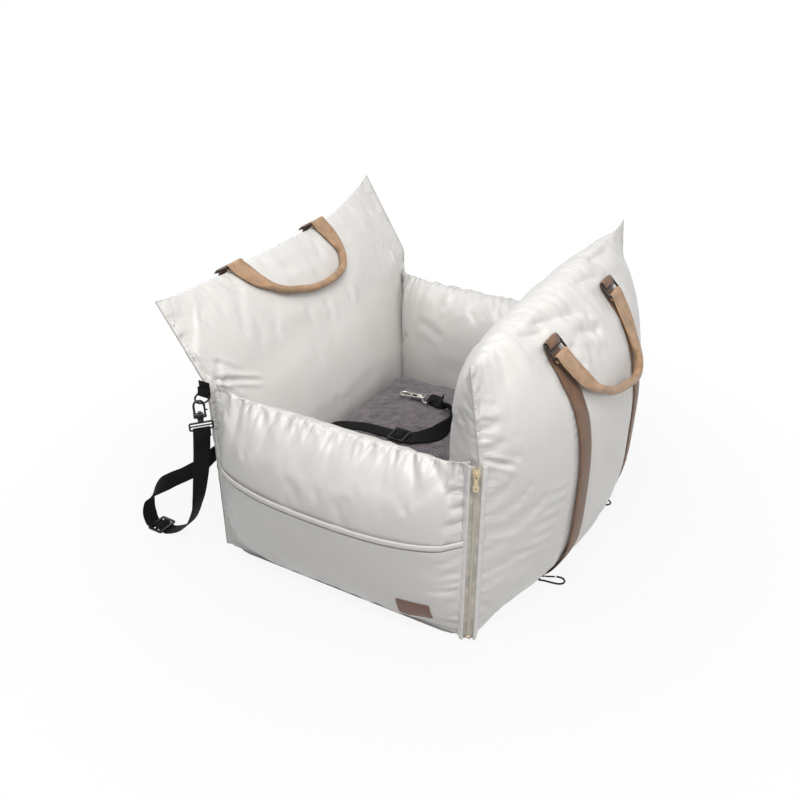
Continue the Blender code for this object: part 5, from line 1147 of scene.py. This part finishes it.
def tube_faces(levels, count):
    """The sides and the two ends of a closed body swept through rings of points."""
    faces = []
    for a in range(0, (levels - 1) * count, count):
        for j in range(count):
            k = (j + 1) % count
            faces.append([a + j, a + k, a + count + k, a + count + j])
    faces.append(list(range(count)))
    faces.append([(levels - 1) * count + j for j in range(count)][::-1])
    return faces


def band(name, rows, sides, wide, thick, look, body="bed", part=(0, None)):
    """A flat woven band with rounded edges along rows of centre points, or a part of it."""
    rows = np.asarray(rows, float)
    sides = unit(sides)
    ahead = unit(np.gradient(rows, axis=0))
    sides = unit(sides - ahead * (sides * ahead).sum(1, keepdims=True))
    ups = np.cross(ahead, sides)
    gone = run(rows)
    across = (-1, -0.6, -0.2, 0.2, 0.6, 1)
    outline = [(x, -1) for x in across] + [(1, 0)] + [(x, 1) for x in across[::-1]] + [(-1, 0)]
    first, last = part
    points, uvs = [], []
    for i in range(len(rows))[first:last]:
        for x, v in outline:
            reach = x * (wide / 2 + (0.0 if v == 0 else -BAND_EDGE))
            rise = v * thick / 2 * (1.0 if abs(x) < 0.9 else BAND_THIN_EDGE)
            points.append(rows[i] + sides[i] * reach + ups[i] * rise)
            uvs.append((gone[i], reach))
    faces = tube_faces(len(points) // len(outline), len(outline))
    return mesh_object(name, points, faces, look, body, True, uvs)


def stitches(name, lines, look, body="bed", pitch=0.0035, long=0.0024, radius=0.00032):
    """Rows of sewn stitches: lines of points lying on the cloth."""
    points, faces = [], []
    for line in lines:
        line = np.asarray(line, float)
        gone = run(line)
        count = max(1, int(gone[-1] / pitch))
        for i in range(count):
            mid = (i + 0.5) * gone[-1] / count
            a, b = at_marks(mid + np.array((-1, 1)) * long / 2, gone, line)
            way = unit(b - a)
            side = unit(np.cross(way, (0.3, 0.2, 0.93)))
            up = np.cross(way, side)
            first = len(points)
            points.append(a)
            for t in (0.22, 0.78):
                for turn in range(5):
                    c, s = math.cos(turn * 1.2566), math.sin(turn * 1.2566)
                    points.append(a + (b - a) * t + (side * c + up * s) * radius)
            points.append(b)
            for j in range(5):
                near, next_near = first + 1 + j, first + 1 + (j + 1) % 5
                faces.append([first, next_near, near])
                faces.append([near, next_near, next_near + 5, near + 5])
                faces.append([near + 5, next_near + 5, first + 11])
    return mesh_object(name, points, faces, look, body)


def finer(rows, steps):
    """The same path and directions with more points."""
    rows = np.array(rows, float)
    gone = run(rows[:, :3])
    p = smooth_line(rows[:, :3], steps)
    marks = run(p)
    return p, at_marks(marks / marks[-1] * gone[-1], gone, rows[:, 3:])


def cloth_slab(name, middle, normals, thick, look):
    """A closed piece of cloth about a grid of points, thinner at its rim."""
    rows, cols = middle.shape[:2]
    half = np.full((rows, cols), thick / 2)
    for rim in (half[0], half[-1], half[:, 0], half[:, -1]):
        rim *= 0.6
    top = middle + normals * half[..., None]
    low = middle - normals * half[..., None]
    points = np.concatenate([top.reshape(-1, 3), low.reshape(-1, 3)])
    size = rows * cols
    faces = []
    for i in range(rows - 1):
        for j in range(cols - 1):
            a = i * cols + j
            faces.append([a, a + 1, a + cols + 1, a + cols])
            faces.append([size + a, size + a + cols, size + a + cols + 1, size + a + 1])
    at = np.arange(size).reshape(rows, cols)
    rim = [*at[0], *at[1:, -1], *at[-1, -2::-1], *at[-2:0:-1, 0]]
    for a, b in zip(rim, rim[1:] + rim[:1]):
        faces.append([int(v) for v in (a, size + a, size + b, b)])
    along = run(middle[:, cols // 2])
    wide = np.linalg.norm(middle[rows // 2, -1] - middle[rows // 2, 0])
    uvs = [(along[i], (j / (cols - 1) - 0.5) * wide) for i in range(rows) for j in range(cols)]
    return mesh_object(name, points, faces, look, uvs=uvs + uvs)


def make_straps(walls):
    """Carry straps, folded round the buckles' upper bars, with their stitching."""
    lines = []
    across = np.linspace(-1, 1, 7)
    shift = across[:, None] * np.array((0, STRAP_WIDE / 2, 0))
    for side, levels in (("right", (0.3, 11.4)), ("left", (0.3, 12.42))):
        wall = walls[side]
        top = len(TALL_LEVELS) - 1
        marks = []
        for level in levels:
            near = min(level, 2 * top - level)
            mark = float(np.interp(near, range(top + 1), TALL_LEVELS))
            marks.append(mark if level <= top else 2 - mark)
        for end, y in (("front", -STRAP_Y), ("rear", STRAP_Y)):
            name = f"{side}_{end}_strap"
            bar, ahead, out = [np.array(v) for v in ROUTES[name]]
            grid = np.stack([wall.over((y + w * STRAP_WIDE / 2) / wall.half, *marks, 64)
                             for w in across], 1)
            flat = eased(grid, 6)
            flat = flat * 0.5 + flat.mean(1, keepdims=True) * 0.5 + 0.5 * shift
            normals = grid_normals(flat, (1 if side == "right" else -1, 0, 0.3))
            lift = ((grid - flat) * normals).sum(2).max(1)
            lift = eased(np.maximum(0, np.minimum(lift, 0.003)), 4)
            last = len(grid) - 3
            grid, normals = (flat + normals * (lift[:, None, None] + 0.0011))[:last], normals[:last]
            rows, ways = [], []
            for a in np.linspace(0, math.pi, 11):
                way = -out * math.cos(a) + ahead * math.sin(a)
                rows.append(bar + way * (BAR_CLEAR + STRAP_THICK / 2) + shift)
                ways.append([-way] * 7)
            for back, drop in ((0.003, 0.0002), (0.006, 0.0008), (0.0095, 0.0016)):
                rows.append(bar - ahead * back + out * (BAR_CLEAR - drop + STRAP_THICK / 2) + shift)
                ways.append([-out] * 7)
            tail = np.array(rows)
            join = np.stack([grid[-1] + (tail[0] - grid[-1]) * s for s in (0.33, 0.67)])
            middle = np.concatenate([grid, join, tail])
            normals = unit(np.concatenate([normals, normals[-1:], normals[-1:], np.array(ways)]))
            strap = cloth_slab(name + "_cloth", middle, normals, STRAP_THICK, "brown_strap")
            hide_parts(name)
            raised = normals * THREAD_LIFT
            for j in (0, 6):
                edge = middle[:, j] * 0.88 + middle[:, 3] * 0.12 + raised[:, j]
                lines.append(edge[2:last])
            box, box_n = middle[4:16], raised[4:16]
            lines += [box[i, 1:6] + box_n[i, 1:6] for i in (0, -1)]
            for sign in (1, -1):
                lines.append(np.array([
                    box[i, 3] + sign * (box[i, 6] - box[i, 0]) * (i / 11 - 0.5) * 0.72 + box_n[i, 3]
                    for i in range(12)]))
    stitches("strap_stitching", lines, "brown_thread")


def loft(name, centres, sides, sections, look, body, count=20):
    """A closed body swept along centres. A section is its width, thickness, squareness
    and crumple: it goes from a flat tape to a round roll."""
    c = np.asarray(centres, float)
    ahead = unit(np.gradient(c, axis=0))
    points, uvs = [], []
    gone = run(c)
    for i, (wide, thick, square, crumple) in enumerate(sections):
        side = np.asarray(sides[i], float)
        side = unit(side - ahead[i] * (side @ ahead[i]))
        up = np.cross(ahead[i], side)
        for j in range(count):
            a = 2 * math.pi * j / count
            ca, sa = math.cos(a), math.sin(a)
            p = 2 / square
            x = math.copysign(abs(ca) ** p, ca) * wide / 2
            y = math.copysign(abs(sa) ** p, sa) * thick / 2
            rise = crumple * math.cos(2.6 * math.pi * x / wide + 0.7 + gone[i] * 90)
            points.append(c[i] + side * x + up * (y + rise))
            uvs.append((gone[i], (a - math.pi) * 0.0075 if square < 3 else x))
    return mesh_object(name, points, tube_faces(len(c), count), look, body, True, uvs)


# Width and squareness of the handles' flat ends
TAB_WIDE, TAB_SQUARE = 0.0365, 8.0


def handle_section(i, n, total):
    """Width, thickness, squareness and crumple of a handle at one of its centres."""
    j = min(i, total - 1 - i)
    crumple = 0.0021 * math.exp(-((j - n + 1.0) / 1.4) ** 2)
    if j < n - 2.5:
        return TAB_WIDE, 0.0022, TAB_SQUARE, crumple
    s = float(smoothstep(np.array(float(j)), n - 2.5, n + 1.8))
    return (TAB_WIDE + (0.0130 - TAB_WIDE) * s, 0.0024 + (0.0136 - 0.0024) * s ** 1.2,
            TAB_SQUARE + (2.3 - TAB_SQUARE) * s ** 0.5, crumple)


def handle_centres(route):
    """The centre line from one bar to the other, and the length of an end."""
    down, out = np.array(route["down"]), np.array(route["out"])
    pts = np.array(route["points"])
    ends = []
    for bar, tip in zip(np.array(route["bars"]), (pts[4], pts[28])):
        rows = [bar + down * s - out * (BAR_CLEAR + 0.0004) for s in (0.0085, 0.0045)]
        for a in np.linspace(0, math.pi, 11):
            way = -out * math.cos(a) - down * math.sin(a)
            rows.append(bar + way * (BAR_CLEAR + 0.0008))
        rows.append(bar + down * (BAR_CLEAR + 0.003) + out * (BAR_CLEAR + 0.0004))
        first = bar + down * (BAR_CLEAR + 0.006) + out * (BAR_CLEAR - 0.0006)
        for share in (0.0, 0.25, 0.5, 0.75):
            rows.append(first + (tip - first) * share + out * 0.0016 * share * (1 - share))
        ends.append(np.array(rows))
    n, m = len(ends[0]), 25
    centres = np.concatenate([ends[0], pts[4:29], ends[1][::-1]])
    for _ in range(3):
        for lo, hi in ((n - 5, n + 4), (n + m - 4, n + m + 5)):
            centres[lo - 1:hi + 1] = eased(centres[lo - 1:hi + 1], 1)
    return centres, n


def handle_sides(ahead, n):
    """The way across the handle, carried along it and turned to fit its other end."""
    y = np.array((0, 1.0, 0))
    total = len(ahead)
    sides = [y]
    for i in range(1, total):
        sides.append(unit(sides[-1] - ahead[i] * (sides[-1] @ ahead[i])))
    sides = np.array(sides)
    aim = y - ahead[-1] * (y @ ahead[-1])
    up = np.cross(ahead[-1], sides[-1])
    turn = math.atan2(aim @ up, aim @ sides[-1])
    if abs(turn) > math.pi / 2:
        turn -= math.copysign(math.pi, turn)
    for i in range(total):
        a = turn * smoothstep(np.array(i), n + 2, total - n - 2)
        sides[i] = sides[i] * math.cos(a) + np.cross(ahead[i], sides[i]) * math.sin(a)
    return sides


def make_handles():
    """Rolled webbing grips with flat ends sewn round the buckles' lower bars."""
    for name in ("right_handle", "left_handle"):
        out = np.array(ROUTES[name]["out"])
        body = BODY_OF[name]
        centres, n = handle_centres(ROUTES[name])
        total = len(centres)
        ahead = unit(np.gradient(centres, axis=0))
        sides = handle_sides(ahead, n)
        sections = [handle_section(i, n, total) for i in range(total)]
        wides, thicks = [q[0] for q in sections], [q[1] for q in sections]
        handle = loft(name + "_grip", centres, sides, sections, "tan_webbing", body, 28)
        step = handle.modifiers.new("smooth", "SUBSURF")
        step.levels = step.render_levels = 1
        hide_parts(name)
        rows = [np.array([
            centres[i] - np.cross(ahead[i], sides[i]) * (thicks[i] / 2 + 0.0001) * 0.8
            + sides[i] * 0.0042 for i in range(n + 1, total - n - 1)])]
        for lo, hi in ((n - 5, n - 1), (total - n + 1, total - n + 5)):
            part = range(lo, hi)
            top = [centres[i] + out * (thicks[i] / 2 + 0.0002) for i in part]
            for s in (-1, 1):
                rows.append(np.array([p + sides[i] * s * wides[i] * 0.40
                                      for p, i in zip(top, part)]))
            for k in (0, -1):
                across = sides[part[k]] * wides[part[k]] * 0.4
                rows.append(np.array([top[k] - across, top[k] + across]))
        stitches(name + "_stitching", rows, "brown_thread", body, radius=0.00028)


def make_pocket(walls, trees, front_obj):
    """Outer pocket with a folded, stitched hem."""
    wall = walls["front"]
    tree = tree_of(front_obj)
    g = wall.grid["outer"]
    n = grid_normals(g, wall.away["outer"])
    calm = blurred(g, 90)
    keep = np.abs(wall.us) < 0.988
    rows_t = np.linspace(0.020, POCKET_SHARE, 52)
    hem_t = np.linspace(POCKET_SHARE + 0.001, POCKET_SHARE + 0.0275, 7)

    def at(ts, extra):
        out, normals = [], []
        for t in ts:
            k = np.interp(t, wall.ts, range(len(wall.ts)))
            k0 = min(int(k), len(wall.ts) - 2)
            p = calm[keep][:, k0] * (1 - k + k0) + calm[keep][:, k0 + 1] * (k - k0)
            m = unit(n[keep][:, k0] * (1 - k + k0) + n[keep][:, k0 + 1] * (k - k0))
            loose = 0.0032 * smoothstep(np.array(t), 0.25, POCKET_SHARE) ** 2
            loose = loose * (1 - (wall.us[keep] / POCKET_WIDE) ** 4)
            p = p + m * (extra + np.maximum(0, loose))[:, None]
            row = []
            for q, v in zip(p, m):
                hit, face_n, _, _ = tree.find_nearest(Vector(q))
                high = (Vector(q) - hit).dot(face_n)
                if high < extra:
                    q = q + v * (extra - high)
                row.append(q)
            out.append(row)
            normals.append(m)
        return np.array(out), np.array(normals)

    middle, normals = at(rows_t, 0.0013)
    middle[:, 2:-2] = blurred(middle, 8)[:, 2:-2]
    x = middle[..., 0]
    z, end = middle[..., 2], wall.us[keep][-1] * wall.half
    ripple = gathers(z, end - x, 31, 13, (0.02, 0.17), 0.0022, 0.0048, 0.030)
    ripple += gathers(z, x + end, 32, 9, (0.02, 0.17), 0.0018, 0.005, 0.024)
    ripple += gathers(x, z, 33, 16, (-0.19, 0.19), 0.0014, 0.006, 0.022)
    for spots, deep, wide in (
        ([(223, 512), (227, 519), (226, 527)], 0.0035, 0.0035),
        ([(250, 490), (300, 520), (350, 545)], 0.0010, 0.0200),
        ([(395, 548), (420, 558), (444, 566)], 0.0008, 0.0120),
    ):
        line = on_photo(trees["front"], spots)
        if len(line) == 3:
            ripple += crease(middle, line, deep, wide)
    mouth_gap = (rows_t[-1] - rows_t)[:, None] * LOW_HEIGHT
    ripple = ripple * smoothstep(mouth_gap, 0.0, 0.02)
    stitch_gap = np.exp(-((mouth_gap - 0.0085) / 0.0012) ** 2) * 0.0005
    middle = middle + normals * (ripple - stitch_gap)[..., None]
    pocket = cloth_slab("pocket_cloth", middle, normals, 0.0012, "pocket_cloth")
    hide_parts("pocket_panel")
    wide, tall = length_of(middle[30]), length_of(middle[:, len(x[0]) // 2])
    hem_mid, hem_n = at(hem_t, 0.0017)
    roll = np.sin(np.linspace(0.15, math.pi - 0.1, 7))[:, None, None]
    hem_mid = hem_mid + hem_n * 0.0008 * roll
    hem = cloth_slab("pocket_hem_cloth", hem_mid, hem_n, 0.0022, "pocket_cloth")
    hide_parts("pocket_hem")
    lines = [hem_mid[1] + hem_n[1] * 0.0013]
    k = int(np.argmin(np.abs(mouth_gap[:, 0] - 0.0085)))
    lines.append(middle[k] + normals[k] * 0.0007)
    stitches("pocket_stitching", lines, "pale_thread", radius=0.00026)
    return tree_of(pocket)


def rounded_grid(wide, tall, corner, cols, rows):
    """A grid over a rectangle whose corners are drawn in."""
    out = np.zeros((rows, cols, 2))
    for i, v in enumerate(np.linspace(-1, 1, rows)):
        for j, w in enumerate(np.linspace(-1, 1, cols)):
            x, y = w * wide / 2, v * tall / 2
            cx, cy = wide / 2 - corner, tall / 2 - corner
            if abs(x) > cx and abs(y) > cy:
                dx, dy = abs(x) - cx, abs(y) - cy
                far = max(dx, dy)
                size = math.hypot(dx, dy)
                x = math.copysign(cx + dx * far / max(size, 1e-9), x)
                y = math.copysign(cy + dy * far / max(size, 1e-9), y)
            out[i, j] = (x, y)
    return out


def edge_ring(a):
    """The points one in from the rim of a grid, all the way round."""
    return np.array([*a[1:-1, 1], *a[-2, 2:-1], *a[-3:0:-1, -2], *a[1, -3:0:-1]])


def make_label(pocket_tree):
    """The bare leather patch, laid on the pocket, with its edge stitching."""
    flat = rounded_grid(LABEL_W, LABEL_H, 0.0022, 25, 19)
    middle, normals = np.zeros((2, 19, 25, 3))
    for i in range(19):
        for j in range(25):
            start = Vector((LABEL_X + flat[i, j, 0], -0.6, LABEL_Z + flat[i, j, 1]))
            middle[i, j], normals[i, j], _, _ = pocket_tree.ray_cast(start, Vector((0, 1, 0)))
    middle, normals = blurred(middle, 6) * 0.5 + middle * 0.5, unit(blurred(normals, 20))
    middle = middle + normals * 0.0012
    label = cloth_slab("label_leather_patch", middle, normals, 0.0014, "label_leather")
    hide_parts("label_patch")
    ring = edge_ring(middle) + edge_ring(normals) * THREAD_LIFT
    stitches("label_stitching", [ring], "brown_thread", pitch=0.0030, long=0.0021)


def stuffed(node, name, voxel, shrink, cap):
    """A cushion made from a solid by remeshing and a short cloth simulation."""
    mesh = NODES[node].data.copy()
    obj = linked(name, mesh)
    build = bmesh.new()
    build.from_mesh(mesh)
    bmesh.ops.remove_doubles(build, verts=build.verts, dist=1e-5)
    build.to_mesh(mesh)
    build.free()
    step = obj.modifiers.new("remesh", "REMESH")
    step.mode, step.voxel_size = "VOXEL", voxel
    smooth = obj.modifiers.new("soften", "SMOOTH")
    smooth.factor, smooth.iterations = 0.5, 8
    mesh = bpy.data.meshes.new_from_object(evaluated(obj))
    obj.modifiers.clear()
    obj.data = mesh
    co = np.array([v.co for v in mesh.vertices])
    normals = np.array([v.normal for v in mesh.vertices])
    start = co - normals * shrink
    mesh.vertices.foreach_set("co", start.ravel())
    mesh.update()
    new = simulated(obj, 20, bending_stiffness=0.5, uniform_pressure_force=4.0)
    obj.modifiers.clear()
    moved = new - start
    size = np.linalg.norm(moved, axis=1, keepdims=True)
    start = start + moved * np.minimum(1, cap / np.maximum(size, 1e-9))
    return obj, start, normals


def finish_soft(obj, points, look, levels, node):
    """Gives a cushion its final points and its look, and hides the solid that it stands for."""
    obj.data.vertices.foreach_set("co", points.ravel())
    obj.data.update()
    if levels:
        step = obj.modifiers.new("smooth", "SUBSURF")
        step.levels = step.render_levels = levels
    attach(obj, "bed")
    dress(obj, look)
    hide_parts(node)


def make_pad():
    """The plush seat pad with its clumps of pile, and the cushion under it."""
    obj, points, normals = stuffed("seat_pad", "seat_pad_plush", 0.0055, 0.0035, 0.003)
    rng = np.random.default_rng(9)
    waves = rng.normal(size=(30, 3))
    waves = waves / np.linalg.norm(waves, axis=1, keepdims=True)
    pitch = rng.uniform(0.010, 0.045, 30)
    turns = rng.uniform(0, 2 * math.pi, 30)
    h = np.zeros(len(points))
    for w, p, t in zip(waves, pitch, turns):
        h += np.sin(points @ w * 2 * math.pi / p + t) * p * 0.012
    h = np.clip(h, -0.0016, 0.0010)
    inside = (points[:, 2] > PAD_LOW.z + 0.01)
    points = points + normals * (h * inside)[:, None]
    points = np.clip(points, np.array(PAD_LOW) - 0.0004, np.array(PAD_HIGH))
    finish_soft(obj, points, "plush", 1, "seat_pad")
    obj, points, _ = stuffed("floor_cushion", "floor_cushion_soft", 0.008, 0.004, 0.004)
    points = np.clip(points, *[np.array(p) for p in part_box("floor_cushion")])
    finish_soft(obj, points, "panel_cloth", 0, "floor_cushion")


# Heights where the belt's front run is parted, and where it leaves its loop round the frame
BELT_CUTS = (0.198, 0.135, 0.0030)
LOOP_FOOT = 0.226


# How far the belt is lifted where it crosses the straps
CROSSING_LIFT = 0.0050


def over_straps(p, sides):
    """Lift the belt's run along the left wall over the two carry straps."""
    away = unit(np.cross(unit(np.gradient(p, axis=0)), sides))
    away = away * np.where(away[:, :1] > 0, -1, 1)
    apart = np.abs(np.abs(p[:, 1]) - STRAP_Y) - STRAP_WIDE / 2
    share = smoothstep(apart, 0.030, 0.004)
    return p + away * (CROSSING_LIFT * share)[:, None]


def make_webbings():
    """Belt and inner tether, each a fixed length of flat webbing."""
    p, s = finer(ROUTES["tether_webbing"], 260)
    tether = band("tether_webbing_woven", p, s, WEB_WIDE, WEB_THICK, "black_webbing")
    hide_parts("tether_webbing")
    p, s = finer(ROUTES["belt_webbing"], 420)
    p = over_straps(p, s)
    over = int(np.argmax(p[:40, 2]))
    cuts = [0] + [over + int(np.argmax(p[over:, 2] < z)) for z in BELT_CUTS] + [len(p) - 1]
    pieces = []
    for i, name in enumerate(("loop", "upper", "lower", "woven")):
        pieces.append(band("belt_webbing_" + name, p, s, WEB_WIDE, WEB_THICK, "black_webbing",
                           "bed" if name == "woven" else None, part=(cuts[i], cuts[i + 1] + 1)))
    loop, upper, lower, rest = pieces
    for piece in (lower, rest):
        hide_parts("belt_webbing")
    bends = ((loop, "belt_hook", "belt_swivel", p[cuts[1]][2] + 0.001, LOOP_FOOT),
             (upper, "belt_d_ring", "belt_hook", p[cuts[2]][2] + 0.002, p[cuts[1]][2] - 0.002),
             (lower, "bed", "belt_d_ring", p[cuts[3]][2] + 0.004, p[cuts[2]][2] - 0.002))
    for piece, below, above, low, high in bends:
        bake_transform(piece)


# Edges sharper than this are rounded
SHARP = math.radians(55)


def refined(node, bevel, look):
    """A hard piece's own shape with rounded edges, in the same place."""
    mesh = NODES[node].data.copy()
    obj = linked(node + "_finished", mesh)
    build = bmesh.new()
    build.from_mesh(mesh)
    bmesh.ops.remove_doubles(build, verts=build.verts, dist=1e-6)
    bmesh.ops.dissolve_limit(build, angle_limit=math.radians(1), verts=build.verts,
                             edges=build.edges)
    edges = [e for e in build.edges if e.is_manifold and e.calc_face_angle(0) > SHARP]
    if edges:
        bmesh.ops.bevel(build, geom=edges, offset=bevel, segments=2, profile=0.6,
                        affect="EDGES", clamp_overlap=True)
    bmesh.ops.triangulate(build, faces=[f for f in build.faces if len(f.verts) > 4])
    # The bevel leaves its edges and faces in another order each run
    build.verts.index_update()
    for parts in (build.edges, build.faces):
        ranked = sorted(parts, key=lambda part: [v.index for v in part.verts])
        for rank, part in enumerate(ranked):
            part.index = rank
        parts.sort()
    build.to_mesh(mesh)
    build.free()
    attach(obj, BODY_OF[node])
    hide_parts(node)
    dress(obj, look)


def dress_hard_parts():
    """Materials in the hard solids' slots, and rounded copies of the small ones."""
    black = ("_buckle", "_hook_body", "_hook_gate", "belt_d_ring", "belt_swivel")
    plan = {
        "black_metal": [n for n in NODES if n.endswith(black)],
        "chrome": ["snap_eye", "snap_body", "snap_bolt"],
        "black_plastic": ["belt_adjuster", "tether_adjuster"],
        "panel_cloth": ["base_panel"],
    }
    for look, names in plan.items():
        for n in names:
            NODES[n].data.materials.clear()
            NODES[n].data.materials.append(LOOKS[look])
    for n in ("zip_slider", "zip_pull"):
        refined(n, 0.00025, "zip_metal")
    refined("zip_stop", 0.0003, "zip_metal")
    for n in ("belt_tab", *[h + "_loop" for h in FLOOR_HOOKS]):
        refined(n, 0.0002, "black_webbing")


def zip_place():
    """The zip's own axes at the front right corner: across the tapes, up and out."""
    out = Vector((math.sin(ZIP_TURN), -math.cos(ZIP_TURN), 0))
    along = Vector((math.cos(ZIP_TURN), math.sin(ZIP_TURN), 0))
    place = Matrix((along, (0, 0, 1), out)).transposed().to_4x4()
    return Matrix.Translation(Vector((HALF_W - 0.002, -HALF_L - 0.0015, 0))) @ place


def make_zip(objects):
    """Woven tapes, moulded teeth and the cloth that is folded back beside them."""
    place = zip_place()
    low, tall = 0.009, ZIP_TOP - 0.009
    for node, sign in (("zip_tape_front", -1), ("zip_tape_side", 1)):
        x = sign * (ZIP_TAPE + 0.0002) / 2
        rows = [place @ Vector((x, low + tall * s, 0.0007)) for s in np.linspace(0, 1, 40)]
        tape = band(node + "_woven", rows, [place.to_3x3() @ Vector((1, 0, 0))] * 40,
                    ZIP_TAPE - 0.0002, 0.0008, "zip_tape")
        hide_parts(node)
    points, faces = [], []
    base, pitch = 0.0014, 0.0019
    count = int((tall - 0.010) / pitch)
    for i in range(count):
        y = low + 0.006 + i * pitch
        s = -1 if i % 2 else 1
        first = len(points)
        for x, wide in ((-0.0016 * s, 0.00062), (0.0004 * s, 0.00085), (0.0021 * s, 0.00055)):
            for dy, dz in ((-1, 0), (-0.8, 0.9), (0.8, 0.9), (1, 0)):
                points.append(place @ Vector((x, y + dy * wide, base + 0.0013 * dz)))
        for r in range(2):
            a, b = first + 4 * r, first + 4 * r + 4
            for j in range(4):
                k = (j + 1) % 4
                faces.append([a + j, a + k, b + k, b + j])
        faces.append([first, first + 1, first + 2, first + 3])
        faces.append([first + 8, first + 11, first + 10, first + 9])
    teeth = mesh_object("zip_teeth_rows", points, faces, "zip_teeth", smooth=False)
    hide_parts("zip_teeth")
    lines = []
    for x in (-0.0082, 0.0082):
        lines.append([tuple(place @ Vector((x, low + tall * s, 0.0017)))
                      for s in np.linspace(0, 1, 30)])
    stitches("zip_stitching", lines, "pale_thread", radius=0.00022)
    trees = {"front": tree_of(objects["front"]), "side": tree_of(objects["right"])}
    out = place.to_3x3() @ Vector((0, 0, 1))
    for name, sign in (("front", -1), ("side", 1)):
        rows = []
        for s in np.linspace(0, 1, 90):
            y = 0.006 + (ZIP_TOP + 0.002 - 0.006) * s
            wave = 0.0006 * math.sin(s * 95) + 0.0005 * math.sin(s * 41 + 1)
            row = []
            for x, z in ((0.0072, 0.0013), (0.0080, 0.0022), (0.0096, 0.0025), (0.0118, 0.0021)):
                row.append(place @ Vector((sign * x, y, z + (wave if x > 0.0085 else 0))))
            for x in (0.0142, 0.0160):
                start = place @ Vector((sign * (x + wave), y, 0.05))
                hit = trees[name].ray_cast(start, -out)[0]
                if hit is None or (hit - start).length > 0.10:
                    hit = row[-1] - out * 0.001
                sink = 0.0008 if x < 0.015 else -0.0008
                row.append(hit + out * sink)
            rows.append(row)
        grid = np.array([[tuple(p) for p in row] for row in rows])
        grid = blurred(grid, 2)
        n = grid_normals(grid, tuple(out))
        cloth_slab("zip_facing_" + name, grid, n, 0.0007, "shell_cloth")


PIPING_WIDE = 0.0020


def make_piping(walls):
    """A narrow sewn edge up the end seams of the tall walls."""
    for key in ("right", "left"):
        for end, name in ((0, "front"), (-1, "rear")):
            path = smooth_line(walls[key].grid["outer"][end], 90)
            n = len(path)
            # The piping's darker cloth is painted shade of the seam line
            loft(f"{key}_{name}_piping", path, [(1.0, 0, 0)] * n,
                 [(PIPING_WIDE, PIPING_WIDE, 2.0, 0.0)] * n, "seam_cloth_painted_shade", "bed", 8)


def make_stage():
    """Pale floor that fades to white, white surroundings and soft lamps."""
    s = 6.0
    obj = bare_object("floor", [(-s, -s, 0), (s, -s, 0), (s, s, 0), (-s, s, 0)], [(0, 1, 2, 3)])
    obj.location.z = -0.0003
    floor = Look("floor", (0.62, 0.62, 0.62), 0.9, Specular_IOR_Level=0.1)
    glow = floor.node("Emission", Strength=1.0)
    place = floor.node("NewGeometry").outputs["Position"]
    far = floor.node("VectorMath", operation="LENGTH", Vector=place).outputs["Value"]
    fade = floor.node("MapRange", interpolation_type="SMOOTHSTEP", Value=far, From_Min=0.38,
                      From_Max=0.85, To_Min=FLOOR_GLOW).outputs["Result"]
    share = floor.sums("MULTIPLY", floor.shown(), fade)
    mix = floor.mixed(share, floor.shader.outputs[0], glow.outputs[0])
    floor.tree.links.new(mix, floor.tree.nodes["Material Output"].inputs["Surface"])
    obj.data.materials.append(floor.mat)
    world = bpy.data.worlds.new("studio")
    SCENE.world = world
    world.use_nodes = True
    studio = Nodes(world.node_tree)
    plain = studio.tree.nodes["Background"]
    plain.inputs["Color"].default_value = (0.93, 0.96, 1.0, 1)
    plain.inputs["Strength"].default_value = AMBIENT
    seen = studio.node("Background", Color=(1, 1, 1, 1))
    mix = studio.mixed(studio.shown(), plain.outputs[0], seen.outputs[0])
    studio.tree.links.new(mix, studio.tree.nodes["World Output"].inputs["Surface"])
    for name, at, size, power, tint in LAMPS:
        data = bpy.data.lights.new(name, "AREA")
        data.shape = "RECTANGLE"
        data.size, data.size_y = size
        data.energy, data.color = power, tint
        lamp = linked(name, data)
        lamp.location = at
        aim = Vector((0, 0, 0.2)) - Vector(at)
        lamp.rotation_euler = aim.to_track_quat("-Z", "Y").to_euler()
    SCENE.view_settings.view_transform = "Standard"


# The floor's white near the object, the world's light, and lamps: place, size, watts, tint
FLOOR_GLOW = 0.90
AMBIENT = 0.33
LAMPS = [
    ("key", (0.40, -0.85, 1.85), (0.9, 0.7), 20, (1, 0.98, 0.955)),
    ("inside", (0.0, 0.0, 1.25), (0.6, 0.6), 3, (1, 0.985, 0.965)),
    ("right", (1.60, -0.75, 1.40), (0.8, 0.7), 10, (1, 0.975, 0.95)),
    ("left_back", (-1.5, 1.0, 1.3), (0.8, 0.8), 6, (0.93, 0.96, 1)),
]


def main():
    walls, objects, trees = make_walls()
    make_straps(walls)
    make_handles()
    pocket_tree = make_pocket(walls, trees, objects["front"])
    make_label(pocket_tree)
    make_zip(objects)
    make_piping(walls)
    make_pad()
    make_webbings()
    dress_hard_parts()
    make_stage()


main()
